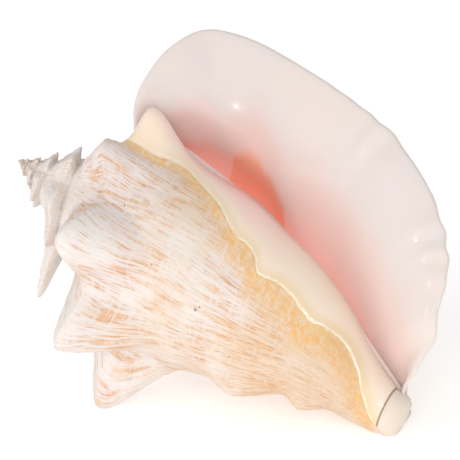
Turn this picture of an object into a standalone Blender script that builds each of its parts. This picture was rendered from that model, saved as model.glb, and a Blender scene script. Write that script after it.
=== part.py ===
"""Conch shell: one grown solid, wound from a law of growth.

The shell is a loft between unlike growth fronts. A stage counts whorls back from the lip: 0 is
the lip's margin, -1 is the same place one turn earlier. Lengths in the law are in millimetres,
along the coiling axis (from the apex to the canal), up (towards the wing) and out (towards the
side that shows the body whorl). The finished mesh is laid down on its three resting points.
"""

import math

import bmesh
import bpy
import numpy as np
from mathutils import Matrix, Vector

NAME = "conch_shell"
MM = 0.001

# The law of growth. Each row is one stage: stage, keel radius, keel height from the apex.
KEEL = (
    (-6.5, 0.8, 0.6),
    (-6.0, 1.6, 1.6),
    (-5.0, 2.7, 4.4),
    (-4.0, 4.9, 9.0),
    (-3.0, 9.0, 15.6),
    (-2.0, 15.4, 24.5),
    (-1.5, 24.5, 37.5),
    (-1.0, 33.5, 41.0),
    (-0.875, 37.0, 46.5),
    (-0.75, 42.0, 60.0),
    (-0.5, 48.5, 89.0),
    (-0.25, 54.0, 98.0),
    (0.0, 60.0, 100.0),
)
# The side of the body whorl: height, radius.
SIDE = (
    (30.0, 40.0),
    (60.0, 44.5),
    (80.0, 46.0),
    (100.0, 46.0),
    (114.0, 44.5),
    (129.0, 40.0),
    (153.0, 34.0),
    (173.0, 26.0),
    (186.0, 20.7),
    (196.0, 17.0),
    (210.0, 13.0),
    (219.0, 10.8),
    (224.5, 8.8),
    (227.0, 4.0),
    (227.5, 0.0),
)
# How full the side is at each stage: stage, share of SIDE's radius.
GIRTH = (
    (-2.5, 0.50),
    (-2.0, 0.55),
    (-1.5, 0.60),
    (-1.25, 0.75),
    (-1.0, 0.95),
    (-0.75, 1.0),
    (-0.5, 1.05),
    (-0.25, 1.13),
    (-0.1, 1.2),
    (0.0, 1.25),
)
# The margin of the flared lip: share of the way round, height, up, out.
MARGIN = (
    (0.0, 42.0, 36.0, 0.0),
    (0.07, 37.0, 50.0, 6.0),
    (0.13, 34.5, 62.0, 8.0),
    (0.22, 36.5, 84.0, 6.0),
    (0.28, 43.5, 98.0, 2.0),
    (0.36, 61.5, 106.5, 0.0),
    (0.46, 94.5, 109.0, 2.0),
    (0.55, 128.0, 107.5, 6.0),
    (0.63, 154.5, 103.0, 10.0),
    (0.70, 177.0, 93.0, 14.0),
    (0.77, 196.5, 79.0, 16.0),
    (0.83, 210.0, 62.0, 16.0),
    (0.88, 216.5, 42.0, 14.0),
    (0.92, 221.5, 28.0, 10.0),
    (0.955, 221.5, 14.0, 7.0),
    (0.98, 220.0, 5.0, 4.0),
    (1.0, 229.0, -9.5, 0.0),
)
# The spines of the last whorl: stage, length, half-width, lean towards the apex.
SPINES = (
    (-0.875, 9.0, 9.0, 7.0),
    (-0.715, 25.0, 11.0, 12.0),
    (-0.6, 30.0, 11.5, 7.0),
    (-0.478, 34.5, 11.5, -2.5),
    (-0.358, 33.3, 11.5, 1.0),
    (-0.24, 22.0, 12.0, 0.0),
    (-0.125, 10.0, 12.0, 0.0),
)
# The long spines of the whorl before. Its other knobs, and the older whorls', are in proportion
# to their keel radius.
OLD_SPINES = ((-1.358, 14.0, 8.0, 0.0), (-1.478, 27.5, 4.8, -3.5), (-1.6, 9.5, 5.5, -1.5))
# Two low bumps on the side, below the spines: stage, length, half-width, height.
LOW_BUMPS = ((-0.53, 5.5, 8.0, 150.0), (-0.53, 5.5, 5.0, 180.5))
OLDEST_TURN = 4
SPINE_BLUNT = 0.6  # roundness of a tip, as a share of the half-width
KNOB_LENGTH = 0.40
KNOB_WIDTH = 0.29
KNOB_LEAN = 0.05
KNOB_STRETCH = 1.15  # a knob is this much longer down the side than across it
KNOB_TRAIL = 0.85
KNOB_FOOT = 1.45
KNOB_TAPER = 1.5  # how sharply a knob narrows from its foot
KNOB_SAME_STAGE = 0.01  # knobs closer than this are one knob
# The callus knob at the head of the aperture.
CALLUS_ANGLE = 74.0
CALLUS_SPREAD = 14.0
CALLUS_HEIGHT = 51.0
CALLUS_TAIL = 15.0
CALLUS_LENGTH = 21.0
CALLUS_LEAN = 5.0
CALLUS_HEAD = 6.0  # how far above its height it starts
CALLUS_RISE = (-1.25, -1.08)  # stages over which it rises
CALLUS_LAST_STAGE = -0.7

LIP_ANGLE = 84.0  # where the margin stands, in degrees from out towards up
APEX_STAGE = -5.0  # the loft's first front
CANAL_TIP = 227.5
# Fronts before the last whorl end higher: by how much, and over which whorls back it comes in.
CANAL_RETREATS = ((92.5, 1.0, 1.45), (60.0, 1.5, 2.5))
CANAL_DROP = 8.5  # how far the canal bends down from the coiling axis
CANAL_BEND = (168.0, 218.0)  # heights between which it bends
KEEL_BLEND = 0.16  # share of the side over which the keel runs into it
# The side of the older whorls: share of the way down, share of the keel radius.
OLDER_SIDE = ((0.0, 1.0), (0.1, 0.99), (0.3, 0.85), (0.6, 0.5), (0.9, 0.2), (1.0, 0.0))
OLDER_WHORLS = (1.35, 1.8)  # whorls back over which that side comes in
SUTURE_BELOW_KEEL = 0.14  # share of the keel radius
RAMP_SHARE = 0.30  # share of a front that is ramp, from suture to keel
MARGIN_RAMP_SHARE = 0.42  # the same, on the lip's margin
RAMP_HOLLOW = 0.05
RAMP_SWELL = 0.21
RAMP_SWELL_STAGES = (-0.62, -0.25)
RAMP_EASE = 0.35  # share of the ramp over which knobs come in from the suture
SEAT_EASE = 0.5  # share of the ramp that follows the whorl before
SUTURE_EASE = 0.03
COVER_SHARES = (0.1, 1.3)  # between the keel and the next suture, where knobs end
COVERED_STAGE = -1.06  # whorls before this stage are covered from the next suture down
FLARE_TOP = -0.06  # stage where the lip starts to flare, at the shoulder
FLARE_SIDE = -0.11  # how much earlier it starts along the side
FLARE_SHIFT = (0.06, 0.32)  # shares below the keel between which it shifts earlier
FLARE_MIDDLE = ((0.05, 0.3), (0.8, 0.98))  # where along the margin the flare swells and ends
START_PULLS = (0.35, 0.35)  # how far the flare runs straight on: least, more in the middle
END_PULLS = (0.30, 0.75)  # how far the flare runs out flat at the margin
FLARE_SEAT = 0.05  # share over which the lip's head joins the whorl before
MARGIN_HEAD = 0.06
MARGIN_FOOT = 0.975
MARGIN_CUP = -0.05  # how far the margin turns in
MARGIN_STEP = 0.01
GROWTH_STEP = 0.004

MARGIN_WALL = 3.2  # thickness of the lip at its margin
THROAT_WALL = 4.5
GLAZE = 0.8  # what the throat's lining adds to the whorl before
TUBE_END = -0.86  # how far back the hollow is modelled
HEAD_TRIM = 0.11  # share of a front, at the suture, that the deep hollow leaves solid
TRIM_DEPTHS = (0.04, 0.2)
BACK_TRIM = 0.3  # the same on the whorl before, as a share of HEAD_TRIM
HOLLOW_SQUEEZES = ((0.12, 0.0, 0.16), (0.22, 0.16, 0.45))  # how much shorter, between depths
WALL_DEPTH = 0.06  # depth at which the lip is as thick as the throat's wall
GLAZE_DEPTH = 0.03
WALL_HEAD = 0.05
WALL_FOOT = (0.7, 0.85)  # how much thinner towards the canal, and from which share
CORNER_HOLD = 0.35  # how far the hollow's first corner stays on the suture

RAMP_COLUMNS = 8
SIDE_COLUMNS = 18
FLARE_ROWS = 7
RAMP_CROWDING = 1.5  # how much closer columns lie towards the keel
SIDE_CROWDING = 1.1
ROWS_BETWEEN_SPINES = 3
TIP_ROW = 0.009  # how far a row lies each side of a spine's tip
NORMAL_STEP = 1e-3

# How the shell lies: turns about the world's Y, X and Z that lay it on its three resting points.
AXIS_DIP = 31.7  # how far the canal end of the coiling axis points down
APEX_AWAY = 12.0
TIP_FORWARD = 23.0
TIP_SIDEWAYS = 2.8
WORN_DEPTH = 0.6  # worn off each resting point

SHELL_COLOUR = (0.86, 0.72, 0.62, 1.0)
SHELL_ROUGHNESS = 0.38


def smooth(x, low, high):
    """A smooth step from 0 at low to 1 at high."""
    t = np.clip((x - low) / (high - low), 0.0, 1.0)
    return t * t * (3.0 - 2.0 * t)


def through(stations, column, x):
    """A smooth curve through one column of hand-set stations, straight beyond their ends."""
    xs = np.array([row[0] for row in stations])
    ys = np.array([row[column] for row in stations])
    steps = np.diff(xs)
    slopes = np.diff(ys) / steps
    tangents = np.empty_like(ys)
    tangents[0] = slopes[0]
    tangents[-1] = slopes[-1]
    tangents[1:-1] = (slopes[:-1] * steps[1:] + slopes[1:] * steps[:-1]) / (xs[2:] - xs[:-2])
    turns = slopes[:-1] * slopes[1:] <= 0
    tangents[1:-1][turns] = 0.0
    x = np.asarray(x, float)
    k = np.clip(np.searchsorted(xs, x) - 1, 0, len(xs) - 2)
    h = steps[k]
    t = (x - xs[k]) / h
    inside = np.clip(t, 0.0, 1.0)
    before = np.minimum(t, 0.0) * h * tangents[k]
    after = np.maximum(t - 1.0, 0.0) * h * tangents[k + 1]
    return hermite(inside, ys[k], h * tangents[k], ys[k + 1], h * tangents[k + 1]) + before + after


def hermite(t, start, start_pull, end, end_pull):
    """A cubic from start to end with the given pulls."""
    t2 = t * t
    t3 = t2 * t
    rise = 3.0 * t2 - 2.0 * t3
    return (
        (1.0 - rise) * start
        + (t3 - 2.0 * t2 + t) * start_pull
        + rise * end
        + (t3 - t2) * end_pull
    )


def keel_radius(stage):
    return through(KEEL, 1, stage)


def keel_height(stage):
    return through(KEEL, 2, stage)


def canal_height(stage):
    """Where a front's lower end lies. Fronts before the last whorl end higher up the axis."""
    return CANAL_TIP - sum(by * smooth(-stage, low, high) for by, low, high in CANAL_RETREATS)


def axis_offset(height):
    """How far the canal's middle has bent down from the coiling axis."""
    return -CANAL_DROP * smooth(height, *CANAL_BEND)


def angle_of(stage):
    return np.radians(LIP_ANGLE - 360.0 * stage)


def turned(height, radius, stage):
    """The point at this height and radius, on the front of this stage."""
    angle = angle_of(stage)
    return np.stack(
        [height, axis_offset(height) + radius * np.sin(angle), radius * np.cos(angle)], -1
    )


def suture_share(stage):
    """How far down the side the next whorl's suture runs."""
    depth = canal_height(stage) - keel_height(stage)
    return SUTURE_BELOW_KEEL * keel_radius(stage) / depth


def side_profile(stage, share):
    """Height and radius down the side, from the keel at 0 to the canal's tip at 1."""
    radius = keel_radius(stage)
    height = keel_height(stage)
    full_height = height + share * (CANAL_TIP - height)
    full = through(SIDE, 1, full_height) * through(GIRTH, 1, stage)
    blend = smooth(share, 0.0, KEEL_BLEND)
    last_whorl = radius * (1.0 - blend) + full * blend
    older = radius * np.interp(share, *zip(*OLDER_SIDE))
    age = smooth(-stage, *OLDER_WHORLS)
    return height + share * (canal_height(stage) - height), last_whorl * (1 - age) + older * age


def ramp_profile(stage, share):
    """Height and radius down the ramp, from the suture at 0 to the keel at 1."""
    top, inner = side_profile(stage - 1.0, suture_share(stage - 1.0))
    radius = keel_radius(stage)
    height = keel_height(stage)
    rise = height - top
    reach = radius - inner
    length = np.hypot(rise, reach)
    hollow = RAMP_HOLLOW - (RAMP_HOLLOW + RAMP_SWELL) * smooth(stage, *RAMP_SWELL_STAGES)
    sag = hollow * radius * np.sin(np.pi * share)
    return top + rise * share + sag * reach / length, inner + reach * share - sag * rise / length


def all_knobs():
    """Every knob and spine: stage, length, half-width, lean. The turns' knobs are in line."""
    knobs = list(SPINES + OLD_SPINES)
    set_by_hand = [knob[0] for knob in knobs] + [-1.0]
    for turn in range(1, OLDEST_TURN + 1):
        for place in [0.0] + [spine[0] for spine in SPINES]:
            stage = place - turn
            if min(abs(stage - other) for other in set_by_hand) < KNOB_SAME_STAGE:
                continue
            radius = float(keel_radius(stage))
            knobs.append((stage, KNOB_LENGTH * radius, KNOB_WIDTH * radius, KNOB_LEAN * radius))
    return knobs


KNOBS = all_knobs()


def bump(stage, height, middle, width, radius, at):
    """A rounded cone: 1 at its tip at stage middle and height at, 0 beyond its foot."""
    across = (stage - middle) * 2.0 * math.pi * radius / width
    down = (height - at) / (KNOB_STRETCH * width)
    down = np.where(down < 0.0, down, KNOB_TRAIL * down)
    distance = np.sqrt(across**2 + down**2 + SPINE_BLUNT**2) - SPINE_BLUNT
    return np.clip(1.0 - distance / KNOB_FOOT, 0.0, 1.0) ** KNOB_TAPER


def knob_relief(stage, height):
    """How far the knobs push a point towards the canal, and outwards."""
    along = np.zeros_like(height)
    outward = np.zeros_like(height)
    for middle, length, width, lean in KNOBS:
        radius = float(keel_radius(middle))
        raised = bump(stage, height, middle, width, radius, float(keel_height(middle)))
        along -= lean * raised
        outward += length * raised
    for middle, length, width, at in LOW_BUMPS:
        outward += length * bump(stage, height, middle, width, float(through(SIDE, 1, at)), at)
    return along, outward


def callus_relief(stage, height):
    """The callus knob at the head of the aperture, and the ridge that runs down from it."""
    past = (LIP_ANGLE - 360.0 * (stage + 1.0) - CALLUS_ANGLE) / CALLUS_SPREAD
    head = smooth(height, CALLUS_HEIGHT - CALLUS_HEAD, CALLUS_HEIGHT)
    tail = np.exp(-(((height - CALLUS_HEIGHT) / CALLUS_TAIL) ** 2))
    reach = np.where(height < CALLUS_HEIGHT, head, tail) * smooth(stage, *CALLUS_RISE)
    shape = np.exp(-(past**2)) * reach * (stage < CALLUS_LAST_STAGE)
    return -CALLUS_LEAN * shape, CALLUS_LENGTH * shape


def side(stage, share, relief=True):
    """The whorl's outside below the keel."""
    stage, share = np.broadcast_arrays(stage, share)
    height, radius = side_profile(stage, share)
    callus_along, callus = callus_relief(stage, height)
    ease = smooth(share, 0.0, SUTURE_EASE)
    lifted = height + callus_along * ease
    if relief:
        along, outward = knob_relief(stage, height)
        covered = smooth(share / suture_share(stage), *COVER_SHARES)
        keep = np.where(stage < COVERED_STAGE, 1.0 - covered, 1.0)
        lifted = lifted + along * keep
        radius = radius + outward * keep
    point = turned(lifted, radius + callus * ease, stage)
    point[..., 1] += axis_offset(height) - axis_offset(lifted)
    return point


def ramp(stage, share, relief=True):
    """The whorl's outside from its suture to its keel."""
    stage, share = np.broadcast_arrays(stage, share)
    height, radius = ramp_profile(stage, share)
    if relief:
        along, outward = knob_relief(stage, height)
        ease = smooth(share, 0.0, RAMP_EASE)
        height = height + along * ease
        radius = radius + outward * ease
    point = turned(height, radius, stage)
    seat = side(stage - 1.0, suture_share(stage - 1.0), relief)
    plain = turned(*ramp_profile(stage, np.zeros_like(share)), stage)
    return point + (seat - plain) * (1.0 - smooth(share, 0.0, SEAT_EASE))[..., None]


def front(stage, share, relief=True):
    """A growth front: ramp, then side, with share 0 at the suture and 1 at the canal's tip."""
    stage, share = np.broadcast_arrays(stage, share)
    on_ramp = ramp(stage, np.clip(share / RAMP_SHARE, 0.0, 1.0), relief)
    below = np.clip((share - RAMP_SHARE) / (1.0 - RAMP_SHARE), 0.0, 1.0)
    return np.where((share < RAMP_SHARE)[..., None], on_ramp, side(stage, below, relief))


def unit(vectors):
    return vectors / (np.linalg.norm(vectors, axis=-1, keepdims=True) + 1e-9)


def margin(share):
    """The lip's free edge."""
    return np.stack([through(MARGIN, column, share) for column in (1, 2, 3)], -1)


def margin_share(share):
    """The place on the margin that a front's share reaches."""
    ramp_part = MARGIN_RAMP_SHARE * share / RAMP_SHARE
    rest = (1.0 - MARGIN_RAMP_SHARE) * (share - RAMP_SHARE) / (1.0 - RAMP_SHARE)
    return np.where(share < RAMP_SHARE, ramp_part, MARGIN_RAMP_SHARE + rest)


def flare_start(share):
    low, high = FLARE_SHIFT
    return FLARE_TOP + FLARE_SIDE * smooth(share, RAMP_SHARE + low, RAMP_SHARE + high)


def flare(stage, share, relief=True):
    """The lip, from the last plain front out to the margin at stage 0."""
    stage, share = np.broadcast_arrays(stage, share)
    begin = flare_start(share)
    part = np.clip((stage - begin) / -begin, 0.0, 1.0)[..., None]
    ones = np.ones_like(share)
    start = front(begin, share, relief)
    start_way = unit(start - front(begin - GROWTH_STEP, share, relief))
    round_ = margin_share(share)
    edge = margin(round_)
    at_head = (1.0 - smooth(round_, 0.0, MARGIN_HEAD))[..., None]
    at_foot = smooth(round_, MARGIN_FOOT, 1.0)[..., None]
    edge = edge + (seat_line(-ones) - margin(0 * ones)) * at_head
    edge = edge + (side(-ones, ones) - margin(ones)) * at_foot
    ahead = margin(np.clip(round_ + MARGIN_STEP, 0.0, 1.0))
    along = unit(ahead - margin(np.clip(round_ - MARGIN_STEP, 0.0, 1.0)))
    out = unit(np.stack([-along[..., 1], along[..., 0], np.zeros_like(share)], -1))
    out[..., 2] = MARGIN_CUP
    reach = np.linalg.norm(edge - start, axis=-1, keepdims=True)
    swells, ends = FLARE_MIDDLE
    middle = (smooth(round_, *swells) * (1.0 - smooth(round_, *ends)))[..., None]
    start_pull = (START_PULLS[0] + START_PULLS[1] * middle) * reach * start_way
    end_pull = (END_PULLS[0] + END_PULLS[1] * middle) * reach * out
    sheet = hermite(part, start, start_pull, edge, end_pull)
    hold = (1.0 - smooth(share, 0.0, FLARE_SEAT))[..., None]
    return sheet + (seat_line(stage - 1.0) - sheet) * hold


def seat_line(stage):
    """The line on a whorl where the next whorl's suture sits."""
    return side(stage, suture_share(stage))


def outside(stage, share, relief=True):
    """The shell's outside surface."""
    stage, share = np.broadcast_arrays(stage, share)
    plain = front(stage, share, relief)
    flared = flare(stage, share, relief)
    return np.where((stage > flare_start(share))[..., None], flared, plain)


def outward_normal(surface, stage, share):
    """The normal of a surface of stage and share, by small differences."""
    ahead = np.minimum(stage + NORMAL_STEP, 0.0)
    across = surface(ahead, share) - surface(ahead - 2 * NORMAL_STEP, share)
    near = np.clip(share, 2 * NORMAL_STEP, 1.0 - 2 * NORMAL_STEP)
    down = surface(stage, near + NORMAL_STEP) - surface(stage, near - NORMAL_STEP)
    return unit(np.cross(across, down))


def whorl_stages():
    """The rows of one whorl, as stages from -1 to 0, with a row through every spine."""
    marks = [-1.0] + [spine[0] for spine in SPINES] + [FLARE_TOP, 0.0]
    stages = []
    for low, high in zip(marks, marks[1:]):
        if low == FLARE_TOP:
            stages.extend(low + (high - low) * k / FLARE_ROWS for k in range(FLARE_ROWS))
            continue
        start = low + TIP_ROW
        end = high - (TIP_ROW if high < FLARE_TOP else 0.0)
        stages.append(low)
        gap = (end - start) / ROWS_BETWEEN_SPINES
        stages.extend(start + gap * k for k in range(ROWS_BETWEEN_SPINES))
        if high < FLARE_TOP:
            stages.append(end)
    return stages


def ramp_shares():
    """The columns from the suture to the keel, closer together near the keel."""
    steps = np.arange(RAMP_COLUMNS + 1) / RAMP_COLUMNS
    return RAMP_SHARE * (1.0 - (1.0 - steps) ** RAMP_CROWDING)


def rows_of_points(stages):
    """The outside, row by row: ramp columns, the seat line and, on the last whorl, the side."""
    whole_front = ramp_shares()
    rows = []
    for stage in stages:
        last_whorl = stage > -1.0 - 1e-6
        stage_row = np.full(len(whole_front), stage)
        if last_whorl:
            top = outside(stage_row, whole_front)
        else:
            top = ramp(stage_row, whole_front / RAMP_SHARE)
        row = list(top)
        seat_share = RAMP_SHARE + (1.0 - RAMP_SHARE) * float(suture_share(stage))
        if last_whorl:
            half_way = (RAMP_SHARE + seat_share) / 2.0
            shares = np.concatenate([[half_way, seat_share], side_shares_below(seat_share)])
            row += list(outside(np.full(len(shares), stage), shares))
        else:
            row.append(side(np.array(stage), suture_share(stage) / 2.0))
            row.append(seat_line(np.array(stage)))
        rows.append(row)
    return rows


def side_shares_below(seat_share):
    """The columns from the seat line to the canal's tip, closer together near the keel."""
    steps = np.arange(1, SIDE_COLUMNS + 1) / SIDE_COLUMNS
    return seat_share + (1.0 - seat_share) * steps**SIDE_CROWDING


class ShellMesh:
    """The closed mesh: outside rows, the apex cap, and the hollow behind the aperture."""

    def __init__(self):
        self.mesh = bmesh.new()
        whorl = whorl_stages()
        self.per_whorl = len(whorl)
        turns = range(int(APEX_STAGE) + 1, 1)
        self.stages = [turn + place for turn in turns for place in whorl] + [0.0]
        self.first_last_whorl = len(self.stages) - 1 - self.per_whorl

    def point(self, place):
        return self.mesh.verts.new(Vector(place) * MM)

    def face(self, *corners):
        """A face, skipping corners that are one vertex."""
        kept = [c for k, c in enumerate(corners) if c is not corners[k - 1]]
        if len(kept) > 2:
            self.mesh.faces.new(kept)

    def build_outside(self):
        """Rows from the apex to the lip. Each starts on the seat of the row a turn before."""
        places = rows_of_points(self.stages)
        seat = RAMP_COLUMNS + 2
        self.tip = self.point(places[-1][-1])
        self.rows = []
        for i, row_places in enumerate(places):
            row = []
            for j, place in enumerate(row_places):
                if j == 0 and i >= self.per_whorl:
                    row.append(self.rows[i - self.per_whorl][seat])
                elif j == seat + SIDE_COLUMNS:
                    row.append(self.tip)
                else:
                    row.append(self.point(place))
            self.rows.append(row)
        for i, (row, ahead) in enumerate(zip(self.rows, self.rows[1:])):
            columns = min(len(row), len(ahead))
            for j in range(columns - 1):
                self.face(row[j], row[j + 1], ahead[j + 1], ahead[j])
        self.seat = seat

    def build_apex(self):
        """A small cap closes the first turn."""
        start = [self.rows[i][0] for i in range(self.per_whorl + 1)]
        rim = start + self.rows[0][self.seat - 1 : 0 : -1]
        apex = self.point((0.0, 0.0, 0.0))
        for corner, after in zip(rim, rim[1:] + rim[:1]):
            self.face(corner, after, apex)

    def hollow_ring(self, stage, depth):
        """One ring round the hollow: the lip's inner wall, then the whorl before, lined."""
        squeeze = 1.0 - sum(by * smooth(depth, low, high) for by, low, high in HOLLOW_SQUEEZES)
        trim = HEAD_TRIM * smooth(depth, *TRIM_DEPTHS)
        seat_share = RAMP_SHARE + (1.0 - RAMP_SHARE) * float(suture_share(stage))
        half_way = (RAMP_SHARE + seat_share) / 2.0
        below = side_shares_below(seat_share)[:-1]
        below = RAMP_SHARE + (below - RAMP_SHARE) * squeeze
        head = trim + ramp_shares()[1:] * (1.0 - trim / RAMP_SHARE)
        shares = np.concatenate([head, [half_way, seat_share], below])
        stages = np.full(len(shares), stage)

        def plain(at, share):
            return outside(at, share, relief=False)

        wall = MARGIN_WALL + (THROAT_WALL - MARGIN_WALL) * smooth(depth, 0.0, WALL_DEPTH)
        thinner, thins_from = WALL_FOOT
        ends = smooth(shares, 0.0, WALL_HEAD) * (1.0 - thinner * smooth(shares, thins_from, 1.0))
        base = outside(stages, shares) if depth == 0 else plain(stages, shares)
        normals = outward_normal(plain, stages, shares)
        outer = base - normals * (wall * ends)[:, None]
        back = np.full(len(below), stage - 1.0)
        back_shares = np.clip((below - RAMP_SHARE) / (1.0 - RAMP_SHARE), 0.0, 1.0)
        back_shares = back_shares + BACK_TRIM * trim * (1.0 - back_shares)
        lining = side(back, back_shares, relief=False)
        lining_normals = outward_normal(lambda a, b: side(a, b, False), back, back_shares)
        inner = lining + lining_normals * GLAZE * smooth(depth, 0.0, GLAZE_DEPTH)
        return outer, inner

    def build_hollow(self):
        """The tube behind the aperture, from the lip back to a floor deep in the whorl."""
        lip = len(self.rows) - 1
        body = self.rows[lip - self.per_whorl]
        edge = self.rows[lip]
        last_ring = None
        for i in range(lip, -1, -1):
            stage = self.stages[i]
            if stage < TUBE_END:
                break
            outer, inner = self.hollow_ring(stage, -stage)
            if i == lip:
                outer_verts = [self.point(p) for p in outer]
                inner_verts = body[self.seat + 1 : -1]
                ring = [edge[0]] + outer_verts + [self.tip] + inner_verts[::-1]
                rim = edge
                for j in range(len(rim) - 1):
                    self.face(rim[j], rim[j + 1], ring[j + 1], ring[j])
            else:
                seat = seat_line(np.array(stage - 1.0))
                held = CORNER_HOLD * (1.0 - float(smooth(-stage, *TRIM_DEPTHS)))
                corner = held * seat + (1.0 - held) * (outer[0] + inner[0]) / 2
                low = (outer[-1] + inner[-1]) / 2
                ring = [self.point(corner)] + [self.point(p) for p in outer] + [self.point(low)]
                ring += [self.point(p) for p in inner[::-1]]
                for j in range(len(ring)):
                    k = (j + 1) % len(ring)
                    self.face(last_ring[j], last_ring[k], ring[k], ring[j])
            last_ring = ring
        floor = self.mesh.faces.new(last_ring)
        bmesh.ops.triangulate(self.mesh, faces=[floor])


def lay_down(mesh):
    """Turns the shell from its coiling axis to the way it lies, and rests it on the ground."""
    dip = Matrix(
        (
            (math.cos(math.radians(AXIS_DIP)), math.sin(math.radians(AXIS_DIP)), 0.0),
            (-math.sin(math.radians(AXIS_DIP)), math.cos(math.radians(AXIS_DIP)), 0.0),
            (0.0, 0.0, 1.0),
        )
    )
    away = Matrix.Rotation(math.radians(APEX_AWAY), 3, "Y").inverted()
    stand = Matrix(((1.0, 0.0, 0.0), (0.0, 0.0, -1.0), (0.0, 1.0, 0.0)))
    tilt = Matrix.Rotation(math.radians(-TIP_FORWARD), 3, "X")
    roll = Matrix.Rotation(math.radians(TIP_SIDEWAYS), 3, "Y")
    turn = roll @ tilt @ stand @ dip @ away
    bmesh.ops.transform(mesh, matrix=turn.to_4x4(), verts=mesh.verts)


def wear_resting_points(mesh):
    """Cuts the three points it rests on flat, and puts them on the ground."""
    lowest = min(vert.co.z for vert in mesh.verts)
    whole = list(mesh.verts) + list(mesh.edges) + list(mesh.faces)
    ground = Vector((0.0, 0.0, lowest + WORN_DEPTH * MM))
    cut = bmesh.ops.bisect_plane(
        mesh, geom=whole, plane_co=ground, plane_no=(0.0, 0.0, -1.0), clear_outer=True
    )
    edges = [item for item in cut["geom_cut"] if isinstance(item, bmesh.types.BMEdge)]
    bmesh.ops.edgeloop_fill(mesh, edges=edges)
    xs = [vert.co.x for vert in mesh.verts]
    ys = [vert.co.y for vert in mesh.verts]
    middle = Vector(((min(xs) + max(xs)) / 2, (min(ys) + max(ys)) / 2, ground.z))
    bmesh.ops.translate(mesh, vec=-middle, verts=mesh.verts)


def shell_material():
    material = bpy.data.materials.new("shell")
    material.use_nodes = True
    shader = material.node_tree.nodes["Principled BSDF"]
    shader.inputs["Base Color"].default_value = SHELL_COLOUR
    shader.inputs["Roughness"].default_value = SHELL_ROUGHNESS
    shader.inputs["Metallic"].default_value = 0.0
    return material


def main():
    for old in list(bpy.data.objects):
        bpy.data.objects.remove(old, do_unlink=True)
    collection = bpy.data.collections.new(NAME)
    bpy.context.scene.collection.children.link(collection)
    shell = ShellMesh()
    shell.build_outside()
    shell.build_apex()
    shell.build_hollow()
    lay_down(shell.mesh)
    wear_resting_points(shell.mesh)
    bmesh.ops.recalc_face_normals(shell.mesh, faces=shell.mesh.faces)
    data = bpy.data.meshes.new(NAME)
    shell.mesh.to_mesh(data)
    shell.mesh.free()
    data.shade_smooth()
    data.materials.append(shell_material())
    collection.objects.link(bpy.data.objects.new(NAME, data))


main()
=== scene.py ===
"""Conch shell: the fine surface and its finish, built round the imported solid.

The shell grows by one law. A stage counts whorls back from the lip: 0 is the lip's margin, and -1
is the same place one turn earlier. A share runs down a growth front, from its suture at 0, over
the keel, to the canal's tip at 1. Lengths in the law are in millimetres, along the coiling axis
(from the apex to the canal), up (towards the lip's wing) and out (towards the side that shows the
body whorl). The finished mesh is laid down in the frame, in metres.
"""

import logging
import math
from collections.abc import Callable
from dataclasses import dataclass
from enum import Enum

import bmesh
import bpy
import numpy as np
from mathutils import Matrix, Vector


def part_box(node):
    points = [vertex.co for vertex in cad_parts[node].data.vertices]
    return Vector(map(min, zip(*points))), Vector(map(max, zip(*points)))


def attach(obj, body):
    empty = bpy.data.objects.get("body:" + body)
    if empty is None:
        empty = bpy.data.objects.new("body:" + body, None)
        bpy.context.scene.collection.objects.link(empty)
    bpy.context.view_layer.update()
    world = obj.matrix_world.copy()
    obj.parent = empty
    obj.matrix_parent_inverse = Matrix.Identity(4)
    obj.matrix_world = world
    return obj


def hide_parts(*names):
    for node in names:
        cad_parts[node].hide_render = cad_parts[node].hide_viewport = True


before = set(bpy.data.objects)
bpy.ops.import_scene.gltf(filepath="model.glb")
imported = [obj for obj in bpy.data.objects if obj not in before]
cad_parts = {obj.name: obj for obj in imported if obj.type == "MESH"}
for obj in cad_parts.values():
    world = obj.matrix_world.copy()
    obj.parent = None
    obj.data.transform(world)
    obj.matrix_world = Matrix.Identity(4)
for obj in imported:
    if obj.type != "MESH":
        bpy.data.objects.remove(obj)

LOG = logging.getLogger("conch")
MM = 0.001
SHELL_NODE = "conch_shell"
TINY = 1e-9
TURN_LENGTH = 290.0  # millimetres round the last whorl
OFF_CALLUS = 40.0  # what a point far outside the callus carries
UNDER_CALLUS = -33.0
OFF_CAVITY = -9.0

Array = np.ndarray
Stations = tuple[tuple[float, ...], ...]
Span = tuple[float, float]
Colour = tuple[float, float, float, float]
Socket = bpy.types.NodeSocket
Value = Socket | float | tuple[float, ...]
Ease = tuple[float, float] | tuple[float, float, Span]  # from, to, and the values there
Noise = tuple[float, float, float]  # scale, detail, roughness
Surface = Callable[[np.ndarray, np.ndarray], np.ndarray]


def smooth(x: Array, low: float, high: float) -> Array:
    """A smooth step from 0 at low to 1 at high."""
    t = np.clip((x - low) / (high - low), 0.0, 1.0)
    return t * t * (3.0 - 2.0 * t)


def hermite(t: Array, start: Array, start_pull: Array, end: Array, end_pull: Array) -> Array:
    """A cubic from start to end.

    Args:
        t: how far along, from 0 to 1.
        start: where it starts.
        start_pull: how fast it leaves.
        end: where it ends.
        end_pull: how fast it arrives.

    Returns:
        The cubic's points at t.
    """
    t2 = t * t
    t3 = t2 * t
    rise = 3.0 * t2 - 2.0 * t3
    leave = t3 - 2.0 * t2 + t
    arrive = t3 - t2
    return (1.0 - rise) * start + leave * start_pull + rise * end + arrive * end_pull


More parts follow.
